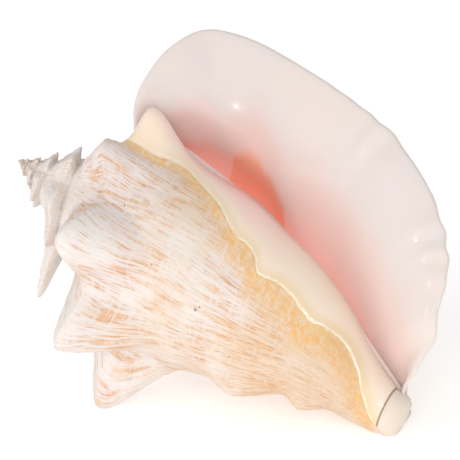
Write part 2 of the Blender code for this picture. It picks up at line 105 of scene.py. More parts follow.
def through(stations: Stations, column: int, x: Array) -> Array:
    """A smooth curve through one column of given stations, straight beyond their ends.

    Args:
        stations: rows of numbers, the first of each being where it stands.
        column: which number of a row the curve goes through.
        x: where the curve is wanted.

    Returns:
        The curve's values at x.
    """
    xs = np.array([row[0] for row in stations])
    ys = np.array([row[column] for row in stations])
    steps = np.diff(xs)
    slopes = np.diff(ys) / steps
    tangents = np.empty_like(ys)
    tangents[0] = slopes[0]
    tangents[-1] = slopes[-1]
    tangents[1:-1] = (slopes[:-1] * steps[1:] + slopes[1:] * steps[:-1]) / (xs[2:] - xs[:-2])
    turns = slopes[:-1] * slopes[1:] <= 0
    tangents[1:-1][turns] = 0.0
    x = np.asarray(x, float)
    k = np.clip(np.searchsorted(xs, x) - 1, 0, len(xs) - 2)
    step = steps[k]
    t = (x - xs[k]) / step
    inside = np.clip(t, 0.0, 1.0)
    before = np.minimum(t, 0.0) * step * tangents[k]
    after = np.maximum(t - 1.0, 0.0) * step * tangents[k + 1]
    curve = hermite(inside, ys[k], step * tangents[k], ys[k + 1], step * tangents[k + 1])
    return curve + before + after


def unit(vectors: Array) -> Array:
    """The vectors at length 1."""
    return vectors / (np.linalg.norm(vectors, axis=-1, keepdims=True) + TINY)


def solid_apex() -> Vector:
    """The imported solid's apex, its leftmost point."""
    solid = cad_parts[SHELL_NODE].data.vertices
    return min((vert.co.copy() for vert in solid), key=lambda place: place.x)


def placed(name: str, mesh: bmesh.types.BMesh) -> bpy.types.Object:
    """Ends the making of a mesh and puts it in the scene.

    Args:
        name: its name.
        mesh: the finished mesh, which is used up.

    Returns:
        The object in the scene.
    """
    data = bpy.data.meshes.new(name)
    mesh.to_mesh(data)
    mesh.free()
    made = bpy.data.objects.new(name, data)
    bpy.context.scene.collection.objects.link(made)
    return made


@dataclass(frozen=True)
class Knob:
    """A knob or spine: its stage, length, half-width and lean towards the apex, in millimetres.

    One with a height stands low on the side, and any other stands on the keel."""

    stage: float
    length: float
    half_width: float
    lean: float
    height: float | None = None


@dataclass(frozen=True)
class GrowthLaw:
    """The law that the whole shell follows, in millimetres and degrees."""

    # Stage, keel radius, keel height from the apex.
    keel: Stations = (
        (-6.5, 0.8, 0.6),
        (-6.0, 1.6, 1.6),
        (-5.0, 2.7, 4.4),
        (-4.0, 4.9, 9.0),
        (-3.0, 9.0, 15.6),
        (-2.0, 15.4, 24.5),
        (-1.5, 24.5, 37.5),
        (-1.0, 33.5, 41.0),
        (-0.875, 37.0, 46.5),
        (-0.75, 42.0, 60.0),
        (-0.5, 48.5, 89.0),
        (-0.25, 54.0, 98.0),
        (0.0, 60.0, 100.0),
    )
    # The side of the body whorl: height, radius.
    flank: Stations = (
        (30.0, 40.0),
        (60.0, 44.5),
        (80.0, 46.0),
        (100.0, 46.0),
        (114.0, 44.5),
        (129.0, 40.0),
        (153.0, 34.0),
        (173.0, 26.0),
        (186.0, 20.7),
        (196.0, 17.0),
        (210.0, 13.0),
        (219.0, 10.8),
        (224.5, 8.8),
        (227.0, 4.0),
        (227.5, 0.0),
    )
    # Stage, share of the flank's radius.
    girth: Stations = (
        (-2.5, 0.50),
        (-2.0, 0.55),
        (-1.5, 0.60),
        (-1.25, 0.75),
        (-1.0, 0.95),
        (-0.75, 1.0),
        (-0.5, 1.05),
        (-0.25, 1.13),
        (-0.1, 1.2),
        (0.0, 1.25),
    )
    # The margin of the flared lip: share of the way round, height, up, out.
    rim: Stations = (
        (0.0, 42.0, 36.0, 0.0),
        (0.07, 37.0, 50.0, 6.0),
        (0.13, 34.5, 62.0, 8.0),
        (0.22, 36.5, 84.0, 6.0),
        (0.28, 43.5, 98.0, 2.0),
        (0.36, 61.5, 106.5, 0.0),
        (0.46, 94.5, 109.0, 2.0),
        (0.55, 128.0, 107.5, 6.0),
        (0.63, 154.5, 103.0, 10.0),
        (0.70, 177.0, 93.0, 14.0),
        (0.77, 196.5, 79.0, 16.0),
        (0.83, 210.0, 62.0, 16.0),
        (0.88, 216.5, 42.0, 14.0),
        (0.92, 221.5, 28.0, 10.0),
        (0.955, 221.5, 14.0, 7.0),
        (0.98, 220.0, 5.0, 4.0),
        (1.0, 229.0, -9.5, 0.0),
    )
    # Where the callus ends on the body whorl: height, degrees from out towards up.
    callus_edge: Stations = (
        (44.0, 56.0),
        (63.0, 56.0),
        (75.0, 58.0),
        (91.0, 51.5),
        (101.0, 46.0),
        (117.0, 34.5),
        (130.0, 32.0),
        (137.0, 22.0),
        (147.0, 26.0),
        (157.0, 24.0),
        (168.0, 18.0),
        (178.0, 26.0),
        (188.0, 30.0),
        (197.0, 20.0),
        (205.5, -4.0),
        (215.0, -38.0),
    )
    spines: tuple[Knob, ...] = (
        Knob(-0.875, 9.0, 9.0, 7.0),
        Knob(-0.715, 25.0, 11.0, 12.0),
        Knob(-0.6, 30.0, 11.5, 7.0),
        Knob(-0.478, 34.5, 11.5, -2.5),
        Knob(-0.358, 33.3, 11.5, 1.0),
        Knob(-0.24, 22.0, 12.0, 0.0),
        Knob(-0.125, 10.0, 12.0, 0.0),
    )
    old_spines: tuple[Knob, ...] = (
        Knob(-1.358, 14.0, 8.0, 0.0),
        Knob(-1.478, 27.5, 4.8, -3.5),
        Knob(-1.6, 9.5, 5.5, -1.5),
    )
    low_bumps: tuple[Knob, ...] = (
        Knob(-0.53, 5.5, 8.0, 0.0, 150.0),
        Knob(-0.53, 5.5, 5.0, 0.0, 180.5),
    )
    oldest_turn: int = 4
    # The older whorls' knobs, as shares of their keel radius.
    knob_length: float = 0.40
    knob_width: float = 0.29
    knob_lean: float = 0.05
    same_stage: float = 0.01  # knobs closer than this are one knob
    spine_blunt: float = 0.6  # roundness of a tip, as a share of the half-width
    knob_stretch: float = 1.15  # a knob is this much longer down the side than across it
    knob_trail: float = 0.85
    knob_foot: float = 1.45
    knob_taper: float = 1.5
    callus_angle: float = 74.0
    callus_spread: float = 14.0
    callus_height: float = 51.0
    callus_head: float = 6.0
    callus_tail: float = 15.0
    callus_length: float = 21.0
    callus_lean: float = 5.0
    callus_rise: Span = (-1.25, -1.08)
    callus_last_stage: float = -0.7

    lip_angle: float = 84.0
    canal_tip: float = 227.5
    # Fronts before the last whorl end higher: by how much, and over which whorls back.
    canal_retreats: Stations = ((92.5, 1.0, 1.45), (60.0, 1.5, 2.5))
    canal_drop: float = 8.5
    canal_bend: Span = (168.0, 218.0)
    keel_blend: float = 0.16
    # The side of the older whorls: share of the way down, share of the keel radius.
    older_side: Stations = (
        (0.0, 1.0),
        (0.1, 0.99),
        (0.3, 0.85),
        (0.6, 0.5),
        (0.9, 0.2),
        (1.0, 0.0),
    )
    older_whorls: Span = (1.35, 1.8)
    suture_below_keel: float = 0.14
    suture_ease: float = 0.03
    cover_shares: Span = (0.1, 1.3)  # between keel and next suture, where knobs end
    covered_stage: float = -1.06
    ramp_share: float = 0.30
    rim_ramp_share: float = 0.42
    ramp_hollow: float = 0.05
    ramp_swell: float = 0.21
    swell_stages: Span = (-0.62, -0.25)
    ramp_ease: float = 0.35
    seat_ease: float = 0.5
    flare_top: float = -0.06
    flare_side: float = -0.11
    flare_shift: Span = (0.06, 0.32)
    flare_swells: Span = (0.05, 0.3)  # where along the margin the flare starts to swell
    flare_ends: Span = (0.8, 0.98)
    start_pulls: Span = (0.35, 0.35)  # how far it runs straight on: least, more in the middle
    end_pulls: Span = (0.30, 0.75)
    flare_seat: float = 0.05
    rim_head: float = 0.06
    rim_foot: float = 0.975
    rim_cup: float = -0.05
    rim_step: float = 0.01
    growth_step: float = 0.004
    normal_step: float = 1e-3
    rim_wall: float = 3.2
    throat_wall: float = 4.5
    glaze: float = 0.8
    edge_tuck: float = 1.4  # room that the lip's rounded edge takes
    tuck_foot: float = 0.95

    def keel_radius(self, stage: Array) -> Array:
        """The keel's radius."""
        return through(self.keel, 1, stage)

    def keel_height(self, stage: Array) -> Array:
        """The keel's height along the axis."""
        return through(self.keel, 2, stage)

    def canal_height(self, stage: Array) -> Array:
        """Where a front's lower end lies. Fronts before the last whorl end higher up the axis."""
        retreats = (by * smooth(-stage, low, high) for by, low, high in self.canal_retreats)
        return self.canal_tip - sum(retreats)

    def axis_offset(self, height: Array) -> Array:
        """How far the canal's middle has bent down from the coiling axis."""
        return -self.canal_drop * smooth(height, *self.canal_bend)

    def turned(self, height: Array, radius: Array, stage: Array) -> Array:
        """Where a front's point lies.

        Args:
            height: along the axis from the apex.
            radius: from the axis.
            stage: the front's stage.

        Returns:
            The places along, up and out.
        """
        angle = np.radians(self.lip_angle - 360.0 * stage)
        up = self.axis_offset(height) + radius * np.sin(angle)
        return np.stack([height, up, radius * np.cos(angle)], -1)

    def suture_share(self, stage: Array) -> Array:
        """How far down the side the next whorl's suture runs."""
        depth = self.canal_height(stage) - self.keel_height(stage)
        return self.suture_below_keel * self.keel_radius(stage) / depth

    def side_profile(self, stage: Array, share: Array) -> tuple[Array, Array]:
        """The side's bare profile.

        Args:
            stage: the front's stage.
            share: 0 at the keel, 1 at the canal's tip.

        Returns:
            Height and radius down the side.
        """
        radius = self.keel_radius(stage)
        height = self.keel_height(stage)
        full_height = height + share * (self.canal_tip - height)
        full = through(self.flank, 1, full_height) * through(self.girth, 1, stage)
        blend = smooth(share, 0.0, self.keel_blend)
        last_whorl = radius * (1.0 - blend) + full * blend
        taper = np.interp(share, *zip(*self.older_side))
        age = smooth(-stage, *self.older_whorls)
        lowered = height + share * (self.canal_height(stage) - height)
        return lowered, last_whorl * (1.0 - age) + radius * taper * age

    def ramp_profile(self, stage: Array, share: Array) -> tuple[Array, Array]:
        """The ramp's bare profile.

        Args:
            stage: the front's stage.
            share: 0 at the suture, 1 at the keel.

        Returns:
            Height and radius down the ramp.
        """
        top, inner = self.side_profile(stage - 1.0, self.suture_share(stage - 1.0))
        radius = self.keel_radius(stage)
        rise = self.keel_height(stage) - top
        reach = radius - inner
        length = np.hypot(rise, reach)
        change = (self.ramp_hollow + self.ramp_swell) * smooth(stage, *self.swell_stages)
        sag = (self.ramp_hollow - change) * radius * np.sin(np.pi * share)
        height = top + rise * share + sag * reach / length
        return height, inner + reach * share - sag * rise / length

    def knobs(self) -> list[Knob]:
        """Every knob and spine. A turn's knobs line up with the last turn's.

        Returns:
            The listed knobs, those of the older whorls, and the low bumps.
        """
        found = list(self.spines + self.old_spines)
        set_by_hand = [knob.stage for knob in found] + [-1.0]
        for turn in range(1, self.oldest_turn + 1):
            for place in [0.0] + [spine.stage for spine in self.spines]:
                stage = place - turn
                if min(abs(stage - other) for other in set_by_hand) < self.same_stage:
                    continue
                radius = float(self.keel_radius(stage))
                sizes = (self.knob_length, self.knob_width, self.knob_lean)
                found.append(Knob(stage, *(size * radius for size in sizes)))
        return found + list(self.low_bumps)

    def knob_relief(self, stage: Array, height: Array) -> tuple[Array, Array, Array]:
        """What the knobs do to a point.

        Args:
            stage: the point's stage.
            height: its height along the axis.

        Returns:
            How far it is pushed towards the canal, how far outwards, and how near a tip it is.
        """
        along = np.zeros_like(height)
        outward = np.zeros_like(height)
        crest = np.zeros_like(height)
        for knob in self.knobs():
            radius = float(self.keel_radius(knob.stage))
            middle = float(self.keel_height(knob.stage)) if knob.height is None else knob.height
            if knob.height is not None:
                radius = float(through(self.flank, 1, knob.height))
            across = (stage - knob.stage) * 2.0 * math.pi * radius / knob.half_width
            down = (height - middle) / (self.knob_stretch * knob.half_width)
            down = np.where(down < 0.0, down, self.knob_trail * down)
            distance = np.sqrt(across**2 + down**2 + self.spine_blunt**2) - self.spine_blunt
            bump = np.clip(1.0 - distance / self.knob_foot, 0.0, 1.0) ** self.knob_taper
            along -= knob.lean * bump
            outward += knob.length * bump
            if knob.height is None:
                crest = np.maximum(crest, bump)
        return along, outward, crest

    def callus_relief(self, stage: Array, height: Array) -> tuple[Array, Array]:
        """The callus knob at the head of the aperture, and the ridge that runs down from it.

        Args:
            stage: a point's stage.
            height: its height along the axis.

        Returns:
            How far the point is pushed towards the canal, and outwards.
        """
        turned = self.lip_angle - 360.0 * (stage + 1.0)
        past = (turned - self.callus_angle) / self.callus_spread
        top = self.callus_height
        head = smooth(height, top - self.callus_head, top)
        tail = np.exp(-(((height - top) / self.callus_tail) ** 2))
        reach = np.where(height < top, head, tail) * smooth(stage, *self.callus_rise)
        shape = np.exp(-(past**2)) * reach * (stage < self.callus_last_stage)
        return -self.callus_lean * shape, self.callus_length * shape

    def side(self, stage: Array, share: Array, relief: bool = True) -> Array:
        """The whorl's outside below the keel.

        Args:
            stage: the points' stages.
            share: 0 at the keel, 1 at the canal's tip.
            relief: whether the knobs and spines are on it.

        Returns:
            The points along, up and out.
        """
        stage, share = np.broadcast_arrays(stage, share)
        height, radius = self.side_profile(stage, share)
        callus_along, callus = self.callus_relief(stage, height)
        ease = smooth(share, 0.0, self.suture_ease)
        lifted = height + callus_along * ease
        if relief:
            along, outward, _ = self.knob_relief(stage, height)
            covered = smooth(share / self.suture_share(stage), *self.cover_shares)
            keep = np.where(stage < self.covered_stage, 1.0 - covered, 1.0)
            lifted = lifted + along * keep
            radius = radius + outward * keep
        point = self.turned(lifted, radius + callus * ease, stage)
        point[..., 1] += self.axis_offset(height) - self.axis_offset(lifted)
        return point

    def ramp(self, stage: Array, share: Array, relief: bool = True) -> Array:
        """The whorl's outside from its suture to its keel.

        Args:
            stage: the points' stages.
            share: 0 at the suture, 1 at the keel.
            relief: whether the knobs and spines are on it.

        Returns:
            The points along, up and out.
        """
        stage, share = np.broadcast_arrays(stage, share)
        height, radius = self.ramp_profile(stage, share)
        if relief:
            along, outward, _ = self.knob_relief(stage, height)
            ease = smooth(share, 0.0, self.ramp_ease)
            height = height + along * ease
            radius = radius + outward * ease
        point = self.turned(height, radius, stage)
        seat = self.side(stage - 1.0, self.suture_share(stage - 1.0), relief)
        plain = self.turned(*self.ramp_profile(stage, np.zeros_like(share)), stage)
        return point + (seat - plain) * (1.0 - smooth(share, 0.0, self.seat_ease))[..., None]

    def front(self, stage: Array, share: Array, relief: bool = True) -> Array:
        """A growth front: ramp, then side.

        Args:
            stage: the points' stages.
            share: 0 at the suture, 1 at the canal's tip.
            relief: whether the knobs and spines are on it.

        Returns:
            The points along, up and out.
        """
        stage, share = np.broadcast_arrays(stage, share)
        on_ramp = self.ramp(stage, np.clip(share / self.ramp_share, 0.0, 1.0), relief)
        below = np.clip((share - self.ramp_share) / (1.0 - self.ramp_share), 0.0, 1.0)
        on_side = self.side(stage, below, relief)
        return np.where((share < self.ramp_share)[..., None], on_ramp, on_side)

    def margin(self, share: Array) -> Array:
        """The lip's free edge."""
        return np.stack([through(self.rim, column, share) for column in (1, 2, 3)], -1)

    def margin_share(self, share: Array) -> Array:
        """The place on the margin that a front reaches.

        Args:
            share: a front's share.

        Returns:
            The share of the way round the margin.
        """
        ramp_part = self.rim_ramp_share * share / self.ramp_share
        below = (share - self.ramp_share) / (1.0 - self.ramp_share)
        rest = self.rim_ramp_share + (1.0 - self.rim_ramp_share) * below
        return np.where(share < self.ramp_share, ramp_part, rest)

    def flare_start(self, share: Array) -> Array:
        """The stage where the lip starts to flare."""
        low, high = (self.ramp_share + shift for shift in self.flare_shift)
        return self.flare_top + self.flare_side * smooth(share, low, high)

    def seat_line(self, stage: Array) -> Array:
        """The line on a whorl where the next whorl's suture sits."""
        return self.side(stage, self.suture_share(stage))

    def flare(self, stage: Array, share: Array, relief: bool = True) -> Array:
        """The lip, from the last plain front out to the margin at stage 0.

        Args:
            stage: the points' stages.
            share: 0 at the suture, 1 at the canal's tip.
            relief: whether the knobs and spines are on it.

        Returns:
            The points along, up and out.
        """
        stage, share = np.broadcast_arrays(stage, share)
        begin = self.flare_start(share)
        part = np.clip((stage - begin) / -begin, 0.0, 1.0)[..., None]
        ones = np.ones_like(share)
        start = self.front(begin, share, relief)
        start_way = unit(start - self.front(begin - self.growth_step, share, relief))
        way_round = self.margin_share(share)
        edge = self.margin(way_round)
        head = (1.0 - smooth(way_round, 0.0, self.rim_head))[..., None]
        foot = smooth(way_round, self.rim_foot, 1.0)[..., None]
        edge = edge + (self.seat_line(-ones) - self.margin(0.0 * ones)) * head
        edge = edge + (self.side(-ones, ones) - self.margin(ones)) * foot
        ahead = self.margin(np.clip(way_round + self.rim_step, 0.0, 1.0))
        along = unit(ahead - self.margin(np.clip(way_round - self.rim_step, 0.0, 1.0)))
        out = unit(np.stack([-along[..., 1], along[..., 0], np.zeros_like(share)], -1))
        out[..., 2] = self.rim_cup
        held = smooth(way_round, 0.0, self.rim_head)
        held = held * (1.0 - smooth(way_round, self.tuck_foot, 1.0))
        edge = edge - self.edge_tuck * held[..., None] * out
        reach = np.linalg.norm(edge - start, axis=-1, keepdims=True)
        middle = smooth(way_round, *self.flare_swells)
        middle = (middle * (1.0 - smooth(way_round, *self.flare_ends)))[..., None]
        start_pull = (self.start_pulls[0] + self.start_pulls[1] * middle) * reach * start_way
        end_pull = (self.end_pulls[0] + self.end_pulls[1] * middle) * reach * out
        sheet = hermite(part, start, start_pull, edge, end_pull)
        hold = (1.0 - smooth(share, 0.0, self.flare_seat))[..., None]
        return sheet + (self.seat_line(stage - 1.0) - sheet) * hold

    def outside(self, stage: Array, share: Array, relief: bool = True) -> Array:
        """The shell's outside surface.

        Args:
            stage: the points' stages.
            share: 0 at the suture, 1 at the canal's tip.
            relief: whether the knobs and spines are on it.

        Returns:
            The points along, up and out.
        """
        stage, share = np.broadcast_arrays(stage, share)
        plain = self.front(stage, share, relief)
        flared = self.flare(stage, share, relief)
        return np.where((stage > self.flare_start(share))[..., None], flared, plain)

    def normal(self, surface: Surface, stage: Array, share: Array) -> Array:
        """The normal of a surface, by small differences.

        Args:
            surface: gives points from stages and shares.
            stage: where the normal is wanted.
            share: where the normal is wanted.

        Returns:
            Normals of length 1.
        """
        step = self.normal_step
        ahead = np.minimum(stage + step, 0.0)
        across = surface(ahead, share) - surface(ahead - 2 * step, share)
        near = np.clip(share, 2 * step, 1.0 - 2 * step)
        down = surface(stage, near + step) - surface(stage, near - step)
        return unit(np.cross(across, down))


@dataclass(frozen=True)
class Lay:
    """How the shell lies in the frame, in degrees: on two spines and its canal."""

    axis_dip: float = 31.7
    apex_away: float = 12.0
    tip_forward: float = 23.0
    tip_sideways: float = 2.8

    def turn(self) -> Matrix:
        """The turn from the law's axes to the frame's.

        Returns:
            A rotation.
        """
        dip = math.radians(self.axis_dip)
        down = Matrix(
            (
                (math.cos(dip), math.sin(dip), 0.0),
                (-math.sin(dip), math.cos(dip), 0.0),
                (0.0, 0.0, 1.0),
            )
        )
        away = Matrix.Rotation(math.radians(self.apex_away), 3, "Y").inverted()
        stand = Matrix(((1.0, 0.0, 0.0), (0.0, 0.0, -1.0), (0.0, 1.0, 0.0)))
        forward = Matrix.Rotation(math.radians(-self.tip_forward), 3, "X")
        sideways = Matrix.Rotation(math.radians(self.tip_sideways), 3, "Y")
        return sideways @ forward @ stand @ down @ away


class Patch(Enum):
    """The patches that the surface is made of."""

    SPIRE = "spire"
    LAST_WHORL = "last whorl"
    HOLLOW = "hollow"
    EDGE = "lip edge"


class Field(Enum):
    """What each point of the mesh carries for the finish, as named attributes."""

    TURN = "turn"  # whorls before the lip
    DOWN = "down"  # millimetres down from the keel, at the last whorl's scale
    CALLUS = "callus"  # millimetres outside the callus edge, below 0 on it
    DEPTH = "depth"  # stage inside the hollow, 0 at the lip's margin
    CREST = "crest"  # 1 at a spine's tip
    ROUND = "round"  # share of the way round the lip's margin
    PINK = "pink"  # 0 where the lip's inside starts to turn pink, 1 where it is
    CAVITY = "cavity"  # millimetres or so into the orange cavity, below 0 outside it
    RELIEF = "relief"  # millimetres that the fine relief lifts the point


class Grain:
    """Smooth noise from a seeded lattice, the same each run."""

    def __init__(self, seed: int, size: int = 128) -> None:
        """A lattice of size by size values from 0 to 1."""
        self.size = size
        self.lattice = np.random.default_rng(seed).random((size, size))

    def at(self, x: Array, y: Array) -> Array:
        """The noise, with features about 1 wide.

        Args:
            x: places across the lattice.
            y: places along it.

        Returns:
            Values from -1 to 1.
        """
        i = np.floor(x).astype(int)
        j = np.floor(y).astype(int)
        u = smooth(x - i, 0.0, 1.0)
        v = smooth(y - j, 0.0, 1.0)
        i0, i1, j0, j1 = (k % self.size for k in (i, i + 1, j, j + 1))
        near = self.lattice[i0, j0] * (1 - u) + self.lattice[i1, j0] * u
        far = self.lattice[i0, j1] * (1 - u) + self.lattice[i1, j1] * u
        return 2.0 * (near * (1 - v) + far * v) - 1.0


@dataclass(frozen=True)
class Ruffles:
    """The lip's gentle ruffles, strongest on the far half of its margin."""

    stages: Span = (0.075, 0.0)  # how far back from the margin they reach
    begins: Span = (0.45, 0.62)  # shares of the way round the margin
    ends: Span = (0.93, 0.975)
    waves: float = 18.0
    bunching: Span = (0.5, 23.0)  # how much the waves bunch up, and how often
    level: float = 0.65
    swing: Span = (0.35, 41.0)  # how much their height swings, and how often
    lift: float = 0.75
    inward: float = 0.45
    lead: float = 0.8  # radians

    def shift(self, stage: Array, way_round: Array) -> Array:
        """How far the ruffles move a point.

        Args:
            stage: the point's stage.
            way_round: its share of the way round the margin.

        Returns:
            The move along, up and out.
        """
        reach = smooth(-stage, *self.stages) * smooth(way_round, *self.begins)
        reach = reach * (1.0 - smooth(way_round, *self.ends))
        bunched = self.bunching[0] * np.sin(self.bunching[1] * way_round)
        phase = 2.0 * math.pi * (self.waves * way_round + bunched)
        uneven = self.level + self.swing[0] * np.sin(self.swing[1] * way_round + 1.0)
        lift = self.lift * np.sin(phase) * reach * uneven
        inward = self.inward * np.sin(phase + self.lead) * reach * uneven
        return np.stack([-inward, -inward, lift], -1)


@dataclass(frozen=True)
class Relief:
    """The outside's fine relief. A size is millimetres round the whorl and down the side."""

    lump_seed: int = 3
    line_seed: int = 5
    wander_size: Span = (60.0, 30.0)
    cord_spacing: float = 5.4
    cord_wander: float = 1.2
    cord_height: float = 0.12
    old_cord_height: float = 0.10
    line_size: Span = (3.4, 70.0)
    line_wander: float = 0.8
    line_height: float = 0.24
    broad_line_size: Span = (8.0, 50.0)
    broad_line_shift: float = 40.0
    broad_line_share: float = 0.6
    swell_size: Span = (17.0, 19.0)
    swell_shift: float = 20.0
    swell_height: float = 0.35
    worn_size: Span = (6.0, 5.0)
    worn_shift: Span = (70.0, 9.0)
    worn_height: float = 0.10
    old_worn_height: float = 0.22
    old_whorls: Span = (0.95, 1.3)
    bare_from: Span = (-1.0, 2.5)  # distance from the callus edge
    ripple_length: float = 7.0
    ripple_row: float = 0.3
    ripple_height: float = 0.7
    step_span: Span = (-0.8, 0.9)
    step_height: float = 0.8
    thread_width: float = 0.9
    thread_height: float = 0.55
    chip_place: float = 168.5  # where the callus has broken off the canal's end
    chip_width: float = 1.3
    chip_depth: float = 0.7
    fade_at_suture: float = 0.02
    fade_at_tip: float = 0.985

    def height(self, stage: Array, down: Array, callus: Array, share: Array) -> Array:
        """The cords, growth lines and lumps of the outside, and the callus's thickness.

        Args:
            stage: a point's stage.
            down: millimetres down from the keel.
            callus: millimetres outside the callus edge.
            share: the point's share down its front.

        Returns:
            Millimetres that the point is lifted.
        """
        around = stage * TURN_LENGTH
        lumps = Grain(self.lump_seed)
        lines = Grain(self.line_seed)

        def sized(grain: Grain, size: Span, shift: Array, drop: float = 0.0) -> Array:
            """A lattice's noise at a size, shifted so that no two noises line up."""
            return grain.at(around / size[0] + shift, down / size[1] + drop)

        wander = sized(lumps, self.wander_size, 0.0)
        cords = np.cos(2.0 * math.pi * (down + self.cord_wander * wander) / self.cord_spacing)
        growth = sized(lines, self.line_size, self.line_wander * wander)
        broad = sized(lines, self.broad_line_size, self.broad_line_shift + wander)
        growth = growth + self.broad_line_share * broad
        swell = sized(lumps, self.swell_size, self.swell_shift)
        worn = sized(lumps, self.worn_size, *self.worn_shift)
        age = smooth(-stage, *self.old_whorls)
        rough = (self.cord_height + self.old_cord_height * age) * cords
        rough = rough + self.line_height * growth + self.swell_height * swell
        rough = rough + (self.worn_height + self.old_worn_height * age) * worn
        bare = smooth(callus, *self.bare_from)
        row = self.ripple_row + 0.0 * down
        edge = callus + self.ripple_height * lumps.at(down / self.ripple_length, row)
        step = self.step_height * (1.0 - smooth(edge, *self.step_span))
        thread = self.thread_height * np.exp(-((edge / self.thread_width) ** 2))
        from_chip = (down - self.chip_place) / self.chip_width
        chip = -self.chip_depth * np.exp(-(from_chip**2)) * (1.0 - bare)
        ends = smooth(share, 0.0, self.fade_at_suture)
        ends = ends * (1.0 - smooth(share, self.fade_at_tip, 1.0))
        return (rough * bare + step + thread + chip) * ends


@dataclass
class ConchShell:
    """The shell: one mesh of periodic rows, with its hollow, its relief and what its finish reads.
    """

    law: GrowthLaw
    lay: Lay
    plain_rows: int = 126  # rows of a whorl before the flare
    flare_rows: int = 46
    turns: int = 5
    ramp_columns: int = 40
    seat_columns: int = 4
    side_columns: int = 104
    hollow_flare_rows: int = 56
    hollow_deep_rows: int = 34
    edge_rows: int = 6
    hollow_end: float = 0.86
    head_trim: float = 0.11  # share of a front, at the suture, that the deep hollow leaves solid
    ruffles: Ruffles = Ruffles()
    relief: Relief = Relief()
    ramp_crowding: float = 1.25
    side_crowding: float = 1.1
    # The hollow narrows: by how much, and between which depths.
    squeezes: Stations = ((0.12, 0.0, 0.16), (0.22, 0.16, 0.45))
    trim_depths: Span = (0.04, 0.2)
    back_trim: float = 0.3
    wall_depth: float = 0.06
    wall_head: float = 0.05
    wall_foot: float = 0.85
    foot_thinning: float = 0.7
    glaze_depth: float = 0.03
    corner_hold: float = 0.35
    lining_lift: float = 0.8
    cavity_softness: float = 0.004
    cavity_head: Span = (0.347, 0.003)  # where it starts round the margin, and how softly
    cavity_most: float = 30.0
    edge_step: float = 2e-3
    edge_drop: float = 60.0
    edge_callus: Stations = ((0.0, 1.2), (6.0, -40.0))
    apex_reach: float = 0.012
    weld: float = 2e-6
    soft_from: float = 0.02
    soft_passes: int = 8
    softness: float = 0.5
    ramp_length: float = 45.0
    side_length: float = 180.0
    # Where the lip's inside turns pink: share of the way round, depth where it starts, and is.
    blush: Stations = (
        (0.0, 0.03, 0.06),
        (0.19, 0.026, 0.048),
        (0.30, 0.028, 0.050),
        (0.38, 0.024, 0.045),
        (0.42, 0.018, 0.042),
        (0.46, 0.024, 0.046),
        (0.525, 0.034, 0.064),
        (0.60, 0.048, 0.092),
        (0.70, 0.060, 0.125),
        (0.80, 0.055, 0.140),
        (0.90, 0.050, 0.160),
        (1.0, 0.045, 0.200),
    )
    # The edge of the orange cavity: share of the way round, depth.
    cavity_edge: Stations = (
        (0.30, 0.058),
        (0.37, 0.048),
        (0.408, 0.043),
        (0.431, 0.043),
        (0.455, 0.047),
        (0.478, 0.048),
        (0.506, 0.059),
        (0.525, 0.071),
        (0.541, 0.098),
        (0.57, 0.15),
        (0.70, 0.24),
        (1.0, 0.30),
    )

    def whorl_stages(self) -> Array:
        """The rows of one whorl.

        Returns:
            Stages from -1 up to, but not at, 0.
        """
        top = self.law.flare_top
        plain = np.linspace(-1.0, top, self.plain_rows, endpoint=False)
        return np.concatenate([plain, np.linspace(top, 0.0, self.flare_rows, endpoint=False)])

    def ramp_shares(self) -> Array:
        """The columns from the suture to the keel, closer together near the keel."""
        steps = np.arange(self.ramp_columns + 1) / self.ramp_columns
        return self.law.ramp_share * (1.0 - (1.0 - steps) ** self.ramp_crowding)

    def seat_shares(self, stage: Array) -> Array:
        """The columns from the keel to the seat of the next whorl.

        Args:
            stage: one stage for each row.

        Returns:
            Rows by columns of shares.
        """
        steps = np.arange(1, self.seat_columns + 1) / self.seat_columns
        ramp = self.law.ramp_share
        return ramp + (1.0 - ramp) * self.law.suture_share(stage)[:, None] * steps

    def side_shares(self, stage: Array) -> Array:
        """The columns from the seat line to the canal's tip, closer together near the seat.

        Args:
            stage: one stage for each row.

        Returns:
            Rows by columns of shares.
        """
        steps = np.arange(1, self.side_columns + 1) / self.side_columns
        seat = self.seat_shares(stage)[:, -1:]
        return seat + (1.0 - seat) * steps**self.side_crowding

    def head_shares(self, stage: Array) -> Array:
        """The columns from the suture to the seat of the next whorl, row by row."""
        ramp = np.broadcast_to(self.ramp_shares(), (len(stage), self.ramp_columns + 1))
        return np.concatenate([ramp, self.seat_shares(stage)], 1)

    def all_shares(self, stage: Array) -> Array:
        """Every column of the last whorl, row by row."""
        return np.concatenate([self.head_shares(stage), self.side_shares(stage)], 1)

    def spire_points(self) -> tuple[Array, dict[Field, Array]]:
        """The whorls before the last, from their sutures to the next whorl's seat.

        Returns:
            Rows by columns of points, and what they carry.
        """
        whorl = self.whorl_stages()
        older = [turn + whorl for turn in range(1 - self.turns, 0)]
        stages = np.concatenate(older + [[-1.0]])
        shares = self.head_shares(stages)
        stage = np.broadcast_to(stages[:, None], shares.shape)
        return self.law.front(stage, shares), self.outer_fields(stage, shares)

    def last_whorl_points(self) -> tuple[Array, dict[Field, Array]]:
        """The last whorl with its lip.

        Returns:
            Rows by columns of points, and what they carry.
        """
        stages = np.concatenate([self.whorl_stages(), [0.0]])
        shares = self.all_shares(stages)
        stage = np.broadcast_to(stages[:, None], shares.shape)
        points = self.law.outside(stage, shares)
        points = points + self.lip_waves(stage, shares)
        return points, self.outer_fields(stage, shares)

    def lip_waves(self, stage: Array, share: Array) -> Array:
        """How far the lip's ruffles move a point."""
        return self.ruffles.shift(stage, self.law.margin_share(share))

